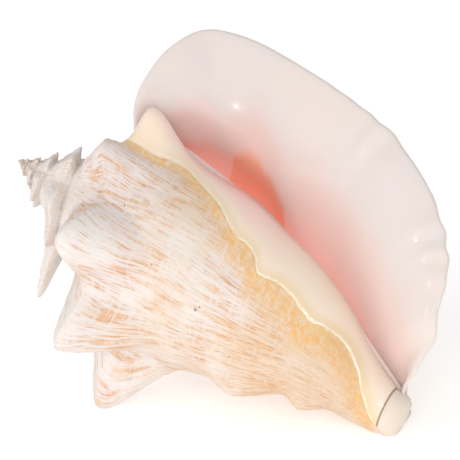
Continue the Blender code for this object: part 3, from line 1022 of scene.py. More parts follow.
    def outer_fields(self, stage: Array, share: Array) -> dict[Field, Array]:
        """What the outside's points carry.

        Args:
            stage: the points' stages.
            share: their shares down their fronts.

        Returns:
            Each field's values.
        """
        law = self.law
        below = np.clip((share - law.ramp_share) / (1.0 - law.ramp_share), 0.0, 1.0)
        above = np.clip(1.0 - share / law.ramp_share, 0.0, 1.0)
        side_height, side_radius = law.side_profile(stage, below)
        ramp_height, _ = law.ramp_profile(stage, 1.0 - above)
        height = np.where(share < law.ramp_share, ramp_height, side_height)
        crest = law.knob_relief(stage, height)[2]
        down = below * self.side_length - above * self.ramp_length
        turned = 360.0 * (stage + 1.0)
        edge = law.lip_angle - through(law.callus_edge, 1, side_height)
        callus = np.radians(turned - edge) * side_radius
        callus = np.where((stage < -1.0) | (share < law.ramp_share), OFF_CALLUS, callus)
        return {
            Field.TURN: stage,
            Field.DOWN: down,
            Field.CALLUS: np.clip(callus, UNDER_CALLUS, OFF_CALLUS),
            Field.DEPTH: np.zeros_like(stage),
            Field.CREST: crest,
            Field.ROUND: law.margin_share(share),
            Field.PINK: np.zeros_like(stage) - 2.0,
            Field.CAVITY: np.zeros_like(stage) + OFF_CAVITY,
            Field.RELIEF: self.relief.height(stage, down, callus, share),
        }

    def ring(self, stage: float) -> tuple[Array, dict[Field, Array]]:
        """One ring round the hollow: the lip's inner wall, then the whorl before, lined.

        Args:
            stage: the ring's stage, 0 at the lip's margin.

        Returns:
            The ring's points, closed by repeating the first, and what they carry.
        """
        law = self.law
        depth = -stage
        one = np.array([stage])
        squeeze = 1.0 - sum(by * smooth(depth, low, high) for by, low, high in self.squeezes)
        trim = self.head_trim * smooth(depth, *self.trim_depths)
        below = self.side_shares(one)[0][:-1]
        below = law.ramp_share + (below - law.ramp_share) * squeeze
        ramp = trim + self.ramp_shares()[1:] * (1.0 - trim / law.ramp_share)
        head = np.concatenate([ramp, self.seat_shares(one)[0]])
        shares = np.concatenate([head, below])
        stages = np.full(len(shares), stage)

        def plain(at: Array, share: Array) -> Array:
            """The outside without its knobs."""
            return law.outside(at, share, relief=False)

        wall = law.rim_wall + (law.throat_wall - law.rim_wall) * smooth(depth, 0.0, self.wall_depth)
        foot = self.foot_thinning * smooth(shares, self.wall_foot, 1.0)
        ends = smooth(shares, 0.0, self.wall_head) * (1.0 - foot)
        base = law.outside(stages, shares) if depth == 0 else plain(stages, shares)
        base = base + self.lip_waves(stages, shares)
        outer = base - law.normal(plain, stages, shares) * (wall * ends)[:, None]
        back = np.full(len(below), stage - 1.0)
        back_shares = np.clip((below - law.ramp_share) / (1.0 - law.ramp_share), 0.0, 1.0)
        back_shares = back_shares + self.back_trim * trim * (1.0 - back_shares)
        lining = law.side(back, back_shares, relief=depth == 0)
        normals = law.normal(lambda a, b: law.side(a, b, False), back, back_shares)
        inner = lining + normals * law.glaze * smooth(depth, 0.0, self.glaze_depth)
        if depth == 0:
            corner = law.seat_line(np.array([-1.0]))
            low = law.side(np.array([-1.0]), np.array([1.0]))
        else:
            seat = law.seat_line(np.array([stage - 1.0]))
            held = self.corner_hold * (1.0 - smooth(depth, *self.trim_depths))
            corner = held * seat + (1.0 - held) * (outer[:1] + inner[:1]) / 2.0
            low = (outer[-1:] + inner[-1:]) / 2.0
        points = np.concatenate([corner, outer, low, inner[::-1], corner])
        way_round = law.margin_share(
            np.concatenate([[0.0], shares, [1.0], below[::-1], [0.0]])
        )
        fields = self.ring_fields(stage, way_round)
        back_side = len(shares) + 2
        fields[Field.RELIEF][back_side:-1] = self.lining_lift
        return points, fields

    def ring_fields(self, stage: float, way_round: Array) -> dict[Field, Array]:
        """What the points of a ring round the hollow carry.

        Args:
            stage: the ring's stage.
            way_round: the points' shares of the way round the margin.

        Returns:
            Each field's values.
        """
        depth = -stage
        pale, pink = (through(self.blush, column, way_round) for column in (1, 2))
        past_edge = (depth - through(self.cavity_edge, 1, way_round)) / self.cavity_softness
        past_head = (way_round - self.cavity_head[0]) / self.cavity_head[1]
        zero = np.zeros_like(way_round)
        return {
            Field.TURN: zero + stage,
            Field.DOWN: zero,
            Field.CALLUS: zero - OFF_CALLUS,
            Field.DEPTH: zero + depth,
            Field.CREST: zero,
            Field.ROUND: way_round,
            Field.PINK: (depth - pale) / (pink - pale),
            Field.CAVITY: np.clip(np.minimum(past_edge, past_head), OFF_CAVITY, self.cavity_most),
            Field.RELIEF: zero.copy(),
        }

    def hollow_points(self) -> tuple[Array, dict[Field, Array]]:
        """The tube behind the aperture, from the lip back to its floor.

        Returns:
            Rings by columns of points, and what they carry.
        """
        begin = -(self.law.flare_top + self.law.flare_side)
        flare = np.linspace(0.0, begin, self.hollow_flare_rows, endpoint=False)
        deep = np.linspace(begin, self.hollow_end, self.hollow_deep_rows)
        rings = [self.ring(-float(depth)) for depth in np.concatenate([flare, deep])]
        points = np.stack([ring[0] for ring in rings])
        fields = {key: np.stack([ring[1][key] for ring in rings]) for key in Field}
        return points, fields

    def edge_points(self) -> tuple[Array, dict[Field, Array]]:
        """The rounded edge of the lip, from the outside round to the inner wall.

        Returns:
            Rows by columns of points, and what they carry.
        """
        law = self.law
        one = np.array([0.0])
        shares = self.all_shares(one)[0]
        stage = np.zeros_like(shares)
        outer = law.outside(stage, shares) + self.lip_waves(stage, shares)
        inner = self.ring(0.0)[0][: len(shares)]
        ahead = law.outside(stage - self.edge_step, shares, relief=False)
        way = unit(law.outside(stage, shares, relief=False) - ahead)
        half = np.linalg.norm(outer - inner, axis=1, keepdims=True) / 2.0
        angles = np.linspace(0.0, math.pi, self.edge_rows + 1)
        middle = (outer + inner) / 2.0
        across = (outer - inner) / 2.0
        rows = [middle + math.cos(a) * across + math.sin(a) * half * way for a in angles]
        points = np.stack(rows)
        rows_of = np.broadcast_to(angles[:, None], points.shape[:2])
        zero = np.zeros_like(rows_of)
        turned_in, (outer_callus, inner_callus) = self.edge_callus
        to_inner = smooth(rows_of, *turned_in)
        fields = {
            Field.TURN: zero,
            Field.DOWN: zero + self.edge_drop,
            Field.CALLUS: outer_callus + (inner_callus - outer_callus) * to_inner,
            Field.DEPTH: zero,
            Field.CREST: zero,
            Field.ROUND: np.broadcast_to(law.margin_share(shares), rows_of.shape),
            Field.PINK: zero - 1.0,
            Field.CAVITY: zero + OFF_CAVITY,
            Field.RELIEF: zero,
        }
        return points, fields

    def add_patch(
        self, mesh: bmesh.types.BMesh, points: Array, fields: dict[Field, Array]
    ) -> None:
        """Makes a grid and moves its points onto the patch.

        Args:
            mesh: the mesh that takes the grid.
            points: rows by columns of places, in the law's millimetres.
            fields: what each point carries.
        """
        rows, columns = points.shape[:2]
        made = bmesh.ops.create_grid(mesh, x_segments=columns - 1, y_segments=rows - 1, size=1.0)
        flat = points.reshape(-1, 3) * MM
        layers = [mesh.verts.layers.float[key.value] for key in Field]
        values = np.stack([fields[key].reshape(-1) for key in Field], 1)
        for vert, place, carried in zip(made["verts"], flat.tolist(), values.tolist()):
            vert.co = place
            for layer, value in zip(layers, carried):
                vert[layer] = value

    def close_apex(self, mesh: bmesh.types.BMesh) -> None:
        """Draws the first turn's open rim together at the apex.

        Args:
            mesh: the shell under construction.
        """
        rim = [
            edge
            for edge in mesh.edges
            if edge.is_boundary and max(vert.co.x for vert in edge.verts) < self.apex_reach
        ]
        made = bmesh.ops.extrude_edge_only(mesh, edges=rim)
        new = [item for item in made["geom"] if isinstance(item, bmesh.types.BMVert)]
        bmesh.ops.pointmerge(mesh, verts=new, merge_co=(0.0, 0.0, 0.0))

    def build(self) -> bpy.types.Object:
        """The whole shell, closed, in place in the frame.

        Returns:
            The shell's object, without a material.
        """
        mesh = bmesh.new()
        for key in Field:
            mesh.verts.layers.float.new(key.value)
        patches = {
            Patch.SPIRE: self.spire_points,
            Patch.LAST_WHORL: self.last_whorl_points,
            Patch.HOLLOW: self.hollow_points,
            Patch.EDGE: self.edge_points,
        }
        for patch, make in patches.items():
            points, fields = make()
            self.add_patch(mesh, points, fields)
            LOG.info("%s: %d x %d points", patch.value, *points.shape[:2])
        bmesh.ops.remove_doubles(mesh, verts=mesh.verts, dist=self.weld)
        self.close_apex(mesh)
        open_edges = [edge for edge in mesh.edges if edge.is_boundary]
        filled = bmesh.ops.holes_fill(mesh, edges=open_edges, sides=0)
        bmesh.ops.triangulate(mesh, faces=filled["faces"])
        bmesh.ops.recalc_face_normals(mesh, faces=mesh.faces)
        self.soften_hollow(mesh)
        self.raise_relief(mesh)
        self.lay_down(mesh)
        shell = placed("shell", mesh)
        shell.data.shade_smooth()
        return shell

    def soften_hollow(self, mesh: bmesh.types.BMesh) -> None:
        """Rounds off the hollow's creases, as the shell's glaze does.

        Args:
            mesh: the shell under construction.
        """
        depth = mesh.verts.layers.float[Field.DEPTH.value]
        inside = [vert for vert in mesh.verts if vert[depth] > self.soft_from]
        for _ in range(self.soft_passes):
            axes = {f"use_axis_{axis}": True for axis in "xyz"}
            bmesh.ops.smooth_vert(mesh, verts=inside, factor=self.softness, **axes)

    def raise_relief(self, mesh: bmesh.types.BMesh) -> None:
        """Lifts every point along its normal by the relief it carries.

        Args:
            mesh: the shell under construction.
        """
        mesh.normal_update()
        layer = mesh.verts.layers.float[Field.RELIEF.value]
        lifted = [vert.co + vert.normal * (vert[layer] * MM) for vert in mesh.verts]
        for vert, place in zip(mesh.verts, lifted):
            vert.co = place

    def lay_down(self, mesh: bmesh.types.BMesh) -> None:
        """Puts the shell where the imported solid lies, and wears its resting points flat.

        Args:
            mesh: the shell under construction.
        """
        place = Matrix.Translation(solid_apex()) @ self.lay.turn().to_4x4()
        bmesh.ops.transform(mesh, matrix=place, verts=mesh.verts)
        whole = list(mesh.verts) + list(mesh.edges) + list(mesh.faces)
        cut = bmesh.ops.bisect_plane(
            mesh, geom=whole, plane_co=(0.0, 0.0, 0.0), plane_no=(0.0, 0.0, -1.0), clear_outer=True
        )
        edges = [item for item in cut["geom_cut"] if isinstance(item, bmesh.types.BMEdge)]
        bmesh.ops.edgeloop_fill(mesh, edges=edges)


class Nodes:
    """A material's node tree, with short ways to add and join nodes."""

    def __init__(self, material: bpy.types.Material) -> None:
        """Starts from the material's own tree."""
        self.tree = material.node_tree

    def add(self, kind: str, **inputs: Value) -> bpy.types.Node:
        """A node of this kind, with inputs set or linked.

        Args:
            kind: the node's type.
            inputs: what each input takes, as for join.

        Returns:
            The new node.
        """
        node = self.tree.nodes.new(kind)
        self.join(node, **inputs)
        return node

    def join(self, node: bpy.types.Node, **inputs: Value) -> None:
        """Sets or links inputs.

        Args:
            node: whose inputs they are.
            inputs: values or sockets. A key's underscores stand for spaces, and i0 is the
                first input.
        """
        for key, value in inputs.items():
            known = key[1:].isdigit() and key[0] == "i"
            socket = node.inputs[int(key[1:]) if known else key.replace("_", " ")]
            if isinstance(value, Socket):
                self.tree.links.new(value, socket)
            else:
                socket.default_value = value

    def carried(self, field: Field) -> Socket:
        """What the mesh's points carry.

        Args:
            field: which of the fields.

        Returns:
            Its value.
        """
        node = self.tree.nodes.new("ShaderNodeAttribute")
        node.attribute_name = field.value
        return node.outputs["Fac"]

    def math(self, operation: str, *values: Value) -> Socket:
        """The result of a Math node.

        Args:
            operation: what it does.
            values: what it takes, in order.

        Returns:
            The result.
        """
        node = self.tree.nodes.new("ShaderNodeMath")
        node.operation = operation
        self.join(node, **{f"i{k}": value for k, value in enumerate(values)})
        return node.outputs[0]

    def times(self, first: Value, second: Value) -> Socket:
        """The product of two values."""
        return self.math("MULTIPLY", first, second)

    def about_zero(self, noise: Socket) -> Socket:
        """A noise that runs from 0 to 1, moved to run about 0."""
        return self.math("SUBTRACT", noise, 0.5)

    def ease(self, value: Value, low: float, high: float, to: Span = (0.0, 1.0)) -> Socket:
        """A smooth step of a value.

        Args:
            value: what is stepped.
            low: where the step starts.
            high: where it ends, which may be below where it starts.
            to: the results at its start and its end.

        Returns:
            The stepped value.
        """
        node = self.tree.nodes.new("ShaderNodeMapRange")
        node.interpolation_type = "SMOOTHSTEP"
        reverse = low > high
        ends = to[::-1] if reverse else to
        low, high = sorted((low, high))
        self.join(node, i0=value, i1=low, i2=high, i3=ends[0], i4=ends[1])
        return node.outputs[0]

    def noise(self, place: Socket, scale: float, detail: float, rough: float) -> Socket:
        """Noise from 0 to 1 at a place."""
        inputs = {"Vector": place, "Scale": scale, "Detail": detail, "Roughness": rough}
        return self.add("ShaderNodeTexNoise", **inputs).outputs["Fac"]

    def vector(self, x: Value, y: Value) -> Socket:
        """A vector from two values."""
        return self.add("ShaderNodeCombineXYZ", X=x, Y=y).outputs[0]

    def blend(self, factor: Value, first: Value, second: Value) -> Socket:
        """Two colours blended.

        Args:
            factor: 0 for the first, 1 for the second.
            first: a colour.
            second: a colour.

        Returns:
            The blend.
        """
        node = self.tree.nodes.new("ShaderNodeMix")
        node.data_type = "RGBA"
        self.join(node, i0=factor, i6=first, i7=second)
        return node.outputs[2]


def tint(red: int, green: int, blue: int) -> Colour:
    """A colour from its display values.

    Args:
        red: from 0 to 255, as green and blue are.
        green: the green part.
        blue: the blue part.

    Returns:
        The shader's linear colour.
    """

    def linear(value: int) -> float:
        """One part, by the display's curve."""
        part = value / 255.0
        return part / 12.92 if part <= 0.04045 else ((part + 0.055) / 1.055) ** 2.4

    return (linear(red), linear(green), linear(blue), 1.0)


@dataclass(frozen=True)
class ShellFinish:
    """The colours and gloss of the shell: chalky crust outside, porcelain inside, and painted light
    in the throat.
    """

    bare: Colour = tint(226, 215, 212)
    chalk: Colour = tint(228, 222, 217)
    # Partly the crust's own colour, partly painted shade on the lower side.
    sand_and_shade: Colour = tint(222, 196, 166)
    streak: Colour = tint(216, 164, 104)
    deep_streak: Colour = tint(198, 128, 66)
    gold: Colour = tint(232, 178, 104)
    yellow: Colour = tint(231, 201, 148)
    thread: Colour = tint(246, 240, 226)
    callus: Colour = tint(243, 224, 204)
    callus_pink: Colour = tint(247, 210, 203)
    wing: Colour = tint(219, 209, 205)
    wing_cream: Colour = tint(223, 211, 203)
    wing_pink: Colour = tint(221, 190, 182)
    throat: Colour = tint(240, 194, 184)
    cavity: Colour = tint(240, 160, 134)
    # Painted light: these two emission colours lighten the shaded throat and cavity; they are not
    # the shell's own colours.
    painted_glow: Colour = tint(255, 224, 216)
    painted_cavity_glow: Colour = tint(255, 198, 176)
    boring: Colour = tint(104, 84, 66)
    crack: Colour = tint(128, 98, 62)
    # Small borings: millimetres round the whorl and down the side, and radius.
    borings: Stations = (
        (-205.0, 62.0, 1.0),
        (-207.5, 64.0, 0.7),
        (-186.0, 82.0, 0.6),
        (-232.0, 12.0, 0.6),
        (-214.0, 34.0, 0.5),
    )
    boring_edge: float = 0.4
    boring_strength: float = 0.8
    crust_roughness: float = 0.6
    glaze_roughness: float = 0.2
    glaze_coat: float = 0.45
    coat_roughness: float = 0.08
    refraction: float = 1.5
    translucency: float = 0.1
    scatter_radius: tuple[float, float, float] = (1.0, 0.45, 0.3)
    scatter_scale: float = 0.004
    bump_strength: float = 0.55
    bump_distance: float = 0.0006
    chip_line: Ease = (168.2, 169.0)
    callus_line: Ease = (-0.6, 0.6)
    # Painted light: a weak emission that lightens the shaded inside of the wall, and more of it
    # deep in the cavity.
    painted_wall_glow: Ease = (0.03, 0.14, (0.0, 0.19))
    painted_deep_glow: Ease = (0.12, 0.40, (0.0, 0.24))
    cavity_line: Ease = (-0.5, 2.0)
    # Noises of the crust: fineness round the whorl and down the side, detail, roughness.
    streak_grain: tuple[float, ...] = (0.50, 0.034, 4.0, 0.65)
    fine_grain: tuple[float, ...] = (1.25, 0.07, 3.0, 0.6)
    dash_grain: tuple[float, ...] = (0.16, 0.42, 3.0, 0.6)
    sway_noise: Noise = (22.0, 2.0, 0.5)
    sway: float = 9.0
    cloud_noise: Noise = (30.0, 4.0, 0.62)
    wash_noise: Noise = (17.0, 3.0, 0.6)
    grit_noise: Noise = (900.0, 3.0, 0.6)
    # Tan streaks and thin lines, broken up by the dashes and the cloud.
    dash_gaps: Ease = (0.33, 0.52, (0.25, 1.0))
    cloud_gaps: Ease = (0.38, 0.60, (0.12, 1.0))
    thin_gaps: Ease = (0.32, 0.62, (0.2, 0.9))
    streak_band: Ease = (0.48, 0.62)
    thin_band: Ease = (0.49, 0.64)
    deep_band: Ease = (0.50, 0.66)
    streak_strength: float = 0.78
    deep_strength: float = 0.6
    # Chalk, the tan wash low on the side, and the worn older whorls. The tan is partly the crust's
    # own colour and partly painted shade, darkening the lower side against the floor's light.
    chalk_band: Ease = (0.62, 0.40)
    wash_band: Ease = (0.36, 0.58, (0.1, 0.75))
    shade_wash_start: Ease = (8.0, 60.0)
    old_line: Ease = (-0.95, -1.15)
    old_chalk: float = 0.85
    old_fading: Ease = (0.0, 1.0, (1.0, 0.85))
    tip_chalk: Ease = (0.70, 1.0, (0.0, 0.35))
    canal_chalk: Ease = (164.0, 170.0, (0.0, 0.7))
    # The gold band beside the callus.
    gold_narrows: Ease = (30.0, 85.0, (1.7, 0.85))
    gold_ragged: float = 30.0
    gold_band: Ease = (17.0, 2.0)
    gold_gaps: Ease = (0.36, 0.62, (0.30, 0.9))
    yellow_band: Ease = (9.0, 0.0)
    yellow_gaps: Ease = (0.42, 0.60)
    yellow_strength: float = 0.7
    # The crust's fine height.
    cord_turn: float = 3.5
    cord_height: float = 0.07
    thin_height: float = 0.8
    streak_height: float = 0.9
    grit_height: float = 0.45
    crust_starts: Ease = (-0.5, 1.5)
    # The glaze.
    drift_noise: Noise = (16.0, 3.0, 0.5)
    pink_drift: float = 1.2
    cream_band: Ease = (0.40, 0.62)
    wing_pink_band: Ease = (-0.3, 0.7)
    throat_band: Ease = (0.5, 1.5)
    rosy_band: Ease = (-5.0, -16.0)
    rosy_end: Ease = (105.0, 60.0)
    yellow_drift: float = 10.0
    yellowed_band: Ease = (-8.0, 0.0)
    yellowed_start: Ease = (20.0, 80.0, (0.2, 0.65))
    callus_strip: Ease = (-38.0, -34.0)
    # The thread along the callus's edge, and the crack at its end.
    waver_fineness: float = 0.15
    waver_noise: Noise = (1.0, 3.0, 0.6)
    waver: float = 4.0
    thread_band: Ease = (0.75, 0.25)
    thread_gaps: Ease = (0.3, 0.6, (0.35, 0.95))
    thread_end: Ease = (168.0, 166.0)
    thread_start: Ease = (20.0, 90.0, (0.3, 1.0))
    crack_place: float = 168.6
    crack_waver: float = 2.0
    crack_band: Ease = (0.7, 0.2)
    crack_end: Ease = (1.5, -0.5)
    crack_strength: float = 0.75

    def make(self) -> bpy.types.Material:
        """The material.

        Returns:
            One material for the whole shell, driven by what its points carry.
        """
        material = bpy.data.materials.new("shell")
        material.use_nodes = True
        nodes = Nodes(material)
        shader = material.node_tree.nodes["Principled BSDF"]
        chipped = nodes.ease(nodes.carried(Field.DOWN), *self.chip_line)
        outside = nodes.ease(nodes.carried(Field.CALLUS), *self.callus_line)
        outside = nodes.math("MAXIMUM", outside, chipped)
        crust, height = self.crust(nodes)
        colour = nodes.blend(outside, self.glaze(nodes), crust)
        colour = self.crack_line(nodes, self.thread_line(nodes, colour))
        roughness = nodes.ease(outside, 0.0, 1.0, (self.glaze_roughness, self.crust_roughness))
        coat = nodes.ease(outside, 0.0, 1.0, (self.glaze_coat, 0.0))
        bump = nodes.add(
            "ShaderNodeBump",
            Strength=self.bump_strength,
            Distance=self.bump_distance,
            Height=height,
        )
        nodes.join(shader, Base_Color=colour, Roughness=roughness, Coat_Weight=coat)
        nodes.join(shader, Normal=bump.outputs[0])
        # Painted light: an emission that lightens the shaded throat, and the deep cavity most.
        depth = nodes.carried(Field.DEPTH)
        in_cavity = nodes.ease(nodes.carried(Field.CAVITY), *self.cavity_line)
        painted_deep_light = nodes.times(in_cavity, nodes.ease(depth, *self.painted_deep_glow))
        painted_glow_strength = nodes.math("ADD", nodes.ease(depth, *self.painted_wall_glow), painted_deep_light)
        painted_glow = nodes.blend(in_cavity, self.painted_glow, self.painted_cavity_glow)
        nodes.join(shader, Emission_Color=painted_glow, Emission_Strength=painted_glow_strength)
        shader.inputs["Coat Roughness"].default_value = self.coat_roughness
        shader.inputs["IOR"].default_value = self.refraction
        shader.inputs["Subsurface Weight"].default_value = self.translucency
        shader.inputs["Subsurface Radius"].default_value = self.scatter_radius
        shader.inputs["Subsurface Scale"].default_value = self.scatter_scale
        return material

    def crust(self, nodes: Nodes) -> tuple[Socket, Socket]:
        """The outside: growth streaks broken by spiral cords.

        Args:
            nodes: the material's nodes.

        Returns:
            Its colour and its fine height.
        """
        around = nodes.times(nodes.carried(Field.TURN), TURN_LENGTH)
        down = nodes.carried(Field.DOWN)
        callus = nodes.carried(Field.CALLUS)
        place = nodes.add("ShaderNodeTexCoord").outputs["Object"]
        around = nodes.math(
            "ADD", around, nodes.times(nodes.noise(place, *self.sway_noise), self.sway)
        )

        def grain(across: float, along: float, detail: float, rough: float) -> Socket:
            """Noise that is stretched along the whorl's own ways."""
            stretched = nodes.vector(nodes.times(around, across), nodes.times(down, along))
            return nodes.noise(stretched, 1.0, detail, rough)

        streaks = grain(*self.streak_grain)
        fine = grain(*self.fine_grain)
        dashes = grain(*self.dash_grain)
        cloud = nodes.noise(place, *self.cloud_noise)
        broken = nodes.ease(dashes, *self.dash_gaps)
        lines = nodes.times(nodes.ease(streaks, *self.streak_band), broken)
        lines = nodes.times(lines, nodes.ease(cloud, *self.cloud_gaps))
        thin = nodes.times(nodes.ease(fine, *self.thin_band), broken)
        thin = nodes.times(thin, nodes.ease(cloud, *self.thin_gaps))
        marks = nodes.math("MAXIMUM", lines, thin)
        base = nodes.blend(nodes.ease(cloud, *self.chalk_band), self.bare, self.chalk)
        wash = nodes.ease(nodes.noise(place, *self.wash_noise), *self.wash_band)
        # Painted shade in part: the tan wash grows down the side and darkens the lower side against
        # the floor's light.
        tan_and_shade_mask = nodes.times(wash, nodes.ease(down, *self.shade_wash_start))
        base = nodes.blend(tan_and_shade_mask, base, self.sand_and_shade)
        old = nodes.ease(nodes.carried(Field.TURN), *self.old_line)
        base = nodes.blend(nodes.times(old, self.old_chalk), base, self.chalk)
        faded = nodes.times(marks, nodes.ease(old, *self.old_fading))
        colour = nodes.blend(nodes.times(faded, self.streak_strength), base, self.streak)
        deep = nodes.times(faded, nodes.ease(fine, *self.deep_band))
        colour = nodes.blend(nodes.times(deep, self.deep_strength), colour, self.deep_streak)
        from_edge = nodes.times(callus, nodes.ease(down, *self.gold_narrows))
        uneven = nodes.about_zero(cloud)
        ragged = nodes.math("MULTIPLY_ADD", uneven, self.gold_ragged, from_edge)
        golden = nodes.ease(ragged, *self.gold_band)
        golden = nodes.times(golden, nodes.ease(dashes, *self.gold_gaps))
        colour = nodes.blend(golden, colour, self.gold)
        pale = nodes.ease(callus, *self.yellow_band)
        pale = nodes.times(pale, nodes.ease(fine, *self.yellow_gaps))
        colour = nodes.blend(nodes.times(pale, self.yellow_strength), colour, self.yellow)
        tips = nodes.ease(nodes.carried(Field.CREST), *self.tip_chalk)
        colour = nodes.blend(tips, colour, self.chalk)
        colour = nodes.blend(nodes.ease(down, *self.canal_chalk), colour, self.chalk)
        colour = self.pits(nodes, colour)
        cords = nodes.math("SINE", nodes.times(down, self.cord_turn))
        height = nodes.times(fine, self.thin_height)
        height = nodes.math("MULTIPLY_ADD", cords, self.cord_height, height)
        height = nodes.math("MULTIPLY_ADD", streaks, self.streak_height, height)
        grit = nodes.noise(place, *self.grit_noise)
        height = nodes.math("MULTIPLY_ADD", grit, self.grit_height, height)
        return colour, nodes.times(height, nodes.ease(callus, *self.crust_starts))

    def pits(self, nodes: Nodes, colour: Socket) -> Socket:
        """A few small dark borings in the crust.

        Args:
            nodes: the material's nodes.
            colour: the crust's colour.

        Returns:
            The colour with the borings.
        """
        around = nodes.times(nodes.carried(Field.TURN), TURN_LENGTH)
        down = nodes.carried(Field.DOWN)
        for turn, drop, size in self.borings:
            across = nodes.math("SUBTRACT", around, turn)
            away = nodes.vector(across, nodes.math("SUBTRACT", down, drop))
            length = nodes.tree.nodes.new("ShaderNodeVectorMath")
            length.operation = "LENGTH"
            nodes.join(length, i0=away)
            edge = self.boring_edge * size
            dark = nodes.ease(length.outputs["Value"], size, edge, (0.0, self.boring_strength))
            colour = nodes.blend(dark, colour, self.boring)
        return colour

    def glaze(self, nodes: Nodes) -> Socket:
        """The inside: white wing, pink throat, orange cavity and the callus.

        Args:
            nodes: the material's nodes.

        Returns:
            Its colour.
        """
        callus = nodes.carried(Field.CALLUS)
        down = nodes.carried(Field.DOWN)
        place = nodes.add("ShaderNodeTexCoord").outputs["Object"]
        soft = nodes.noise(place, *self.drift_noise)
        drift = nodes.about_zero(soft)
        pink = nodes.math("MULTIPLY_ADD", drift, self.pink_drift, nodes.carried(Field.PINK))
        colour = nodes.blend(nodes.ease(soft, *self.cream_band), self.wing, self.wing_cream)
        colour = nodes.blend(nodes.ease(pink, *self.wing_pink_band), colour, self.wing_pink)
        colour = nodes.blend(nodes.ease(pink, *self.throat_band), colour, self.throat)
        cavity = nodes.ease(nodes.carried(Field.CAVITY), *self.cavity_line)
        colour = nodes.blend(cavity, colour, self.cavity)
        rosy = nodes.ease(callus, *self.rosy_band)
        rosy = nodes.times(rosy, nodes.ease(down, *self.rosy_end))
        strip = nodes.blend(rosy, self.callus, self.callus_pink)
        warm = nodes.math("MULTIPLY_ADD", drift, self.yellow_drift, callus)
        yellowed = nodes.ease(warm, *self.yellowed_band)
        yellowed = nodes.times(yellowed, nodes.ease(down, *self.yellowed_start))
        strip = nodes.blend(yellowed, strip, self.yellow)
        return nodes.blend(nodes.ease(callus, *self.callus_strip), colour, strip)

    def wavered(self, nodes: Nodes) -> tuple[Socket, Socket]:
        """The waver of the thread and the crack.

        Args:
            nodes: the material's nodes.

        Returns:
            The waver from 0 to 1, and the same about 0.
        """
        place = nodes.vector(nodes.times(nodes.carried(Field.DOWN), self.waver_fineness), 0.0)
        waver = nodes.noise(place, *self.waver_noise)
        return waver, nodes.about_zero(waver)

    def thread_line(self, nodes: Nodes, colour: Socket) -> Socket:
        """The thin pale thread along the callus's edge.

        Args:
            nodes: the material's nodes.
            colour: the colour so far.

        Returns:
            The colour with the thread.
        """
        down = nodes.carried(Field.DOWN)
        waver, offset = self.wavered(nodes)
        offset = nodes.math("MULTIPLY_ADD", offset, self.waver, nodes.carried(Field.CALLUS))
        line = nodes.ease(nodes.math("ABSOLUTE", offset), *self.thread_band)
        lit = nodes.times(line, nodes.ease(waver, *self.thread_gaps))
        lit = nodes.times(lit, nodes.ease(down, *self.thread_end))
        lit = nodes.times(lit, nodes.ease(down, *self.thread_start))
        return nodes.blend(lit, colour, self.thread)

    def crack_line(self, nodes: Nodes, colour: Socket) -> Socket:
        """The thin dark crack where the callus has broken off the canal's end.

        Args:
            nodes: the material's nodes.
            colour: the colour so far.

        Returns:
            The colour with the crack.
        """
        _, offset = self.wavered(nodes)
        waved = nodes.math("MULTIPLY_ADD", offset, self.crack_waver, nodes.carried(Field.DOWN))
        away = nodes.math("ABSOLUTE", nodes.math("SUBTRACT", waved, self.crack_place))
        on_callus = nodes.ease(nodes.carried(Field.CALLUS), *self.crack_end)
        crack = nodes.times(nodes.ease(away, *self.crack_band), on_callus)
        return nodes.blend(nodes.times(crack, self.crack_strength), colour, self.crack)


@dataclass(frozen=True)
class Lamp:
    """One soft square lamp: where it stands from the shell's middle, its side and its power."""

    name: str
    place: tuple[float, float, float]  # metres
    size: float
    power: float  # watts
    shines: bool  # whether it shows as a highlight in the glaze


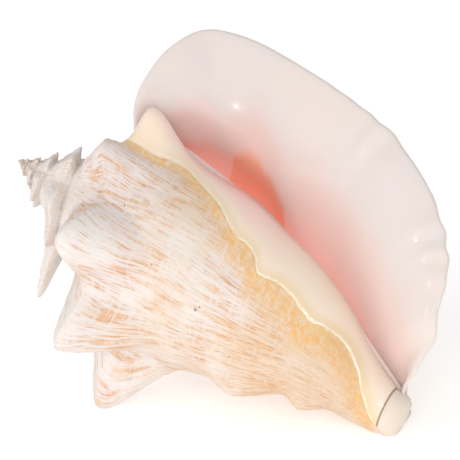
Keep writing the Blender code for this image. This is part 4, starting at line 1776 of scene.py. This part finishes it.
@dataclass
class Studio:
    """A pale floor, soft lights and a long lens, set out round the shell's box."""

    lens: float = 489.0
    distance: float = 3.0
    look_right: float = 0.10176
    look_down: float = 0.0336
    elevation: float = 23.0
    roll: float = 2.8
    floor_side: float = 12.0
    floor_below: float = 0.0002
    floor_white: Colour = (0.95, 0.95, 0.95, 1.0)
    floor_glow: float = 0.30
    white: Colour = (1.0, 1.0, 1.0, 1.0)
    world_strength: float = 0.62
    far: float = 50.0
    lamp_set: tuple[Lamp, ...] = (
        Lamp("key", (-0.1, -1.66, 0.74), 0.9, 9.0, False),
        Lamp("side", (-1.6, -0.7, 0.8), 1.0, 9.0, False),
        Lamp("fill", (1.1, -1.3, 0.4), 1.0, 1.0, False),
        Lamp("spark", (0.5, -1.2, 0.35), 0.09, 0.8, True),
        Lamp("glint", (-0.75, -1.1, 0.35), 0.05, 0.28, True),
    )

    def floor(self) -> None:
        """The floor."""
        mesh = bmesh.new()
        bmesh.ops.create_grid(mesh, x_segments=1, y_segments=1, size=self.floor_side / 2.0)
        floor = placed("floor", mesh)
        floor.location.z = -self.floor_below
        material = bpy.data.materials.new("floor")
        material.use_nodes = True
        shader = material.node_tree.nodes["Principled BSDF"]
        shader.inputs["Base Color"].default_value = self.floor_white
        shader.inputs["Roughness"].default_value = 1.0
        shader.inputs["Specular IOR Level"].default_value = 0.0
        shader.inputs["Emission Color"].default_value = self.white
        shader.inputs["Emission Strength"].default_value = self.floor_glow
        floor.data.materials.append(material)

    def world(self) -> None:
        """Even pale light from all round."""
        world = bpy.data.worlds.new("studio")
        world.use_nodes = True
        background = world.node_tree.nodes["Background"]
        background.inputs["Color"].default_value = self.white
        background.inputs["Strength"].default_value = self.world_strength
        bpy.context.scene.world = world
        bpy.context.scene.view_settings.view_transform = "Standard"

    def lamps(self, middle: Vector) -> None:
        """The lamps, all aimed at the shell's middle.

        Args:
            middle: the shell's middle.
        """
        for lamp in self.lamp_set:
            data = bpy.data.lights.new(lamp.name, "AREA")
            data.shape = "SQUARE"
            data.size = lamp.size
            data.energy = lamp.power
            made = bpy.data.objects.new(lamp.name, data)
            made.location = middle + Vector(lamp.place)
            made.visible_glossy = lamp.shines
            aim = middle - made.location
            made.rotation_euler = aim.to_track_quat("-Z", "Y").to_euler()
            bpy.context.scene.collection.objects.link(made)

    def camera(self, apex: Vector) -> None:
        """The camera, aimed from the apex by how far right and down it looks.

        Args:
            apex: the shell's apex.
        """
        rise = math.radians(self.elevation)
        roll = math.radians(self.roll)
        right = Vector((math.cos(roll), 0.0, -math.sin(roll)))
        back = Vector(
            (math.sin(rise) * math.sin(roll), -math.cos(rise), math.sin(rise) * math.cos(roll))
        )
        up = back.cross(right)
        target = apex + self.look_right * right - self.look_down * up
        data = bpy.data.cameras.new("camera")
        data.lens = self.lens
        data.clip_end = self.far
        camera = bpy.data.objects.new("camera", data)
        turn = Matrix((right, up, back)).transposed().to_4x4()
        camera.matrix_world = Matrix.Translation(target + self.distance * back) @ turn
        bpy.context.scene.collection.objects.link(camera)
        bpy.context.scene.camera = camera


def main() -> None:
    """Builds the shell, dresses it and sets out the studio."""
    logging.basicConfig(level=logging.INFO)
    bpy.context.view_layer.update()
    low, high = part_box(SHELL_NODE)
    shell = ConchShell(GrowthLaw(), Lay()).build()
    shell.data.materials.append(ShellFinish().make())
    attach(shell, "root")
    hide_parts(SHELL_NODE)
    LOG.info("shell: %d faces", len(shell.data.polygons))
    studio = Studio()
    studio.floor()
    studio.world()
    studio.lamps((low + high) / 2.0)
    studio.camera(solid_apex())


if __name__ == "__main__":
    main()
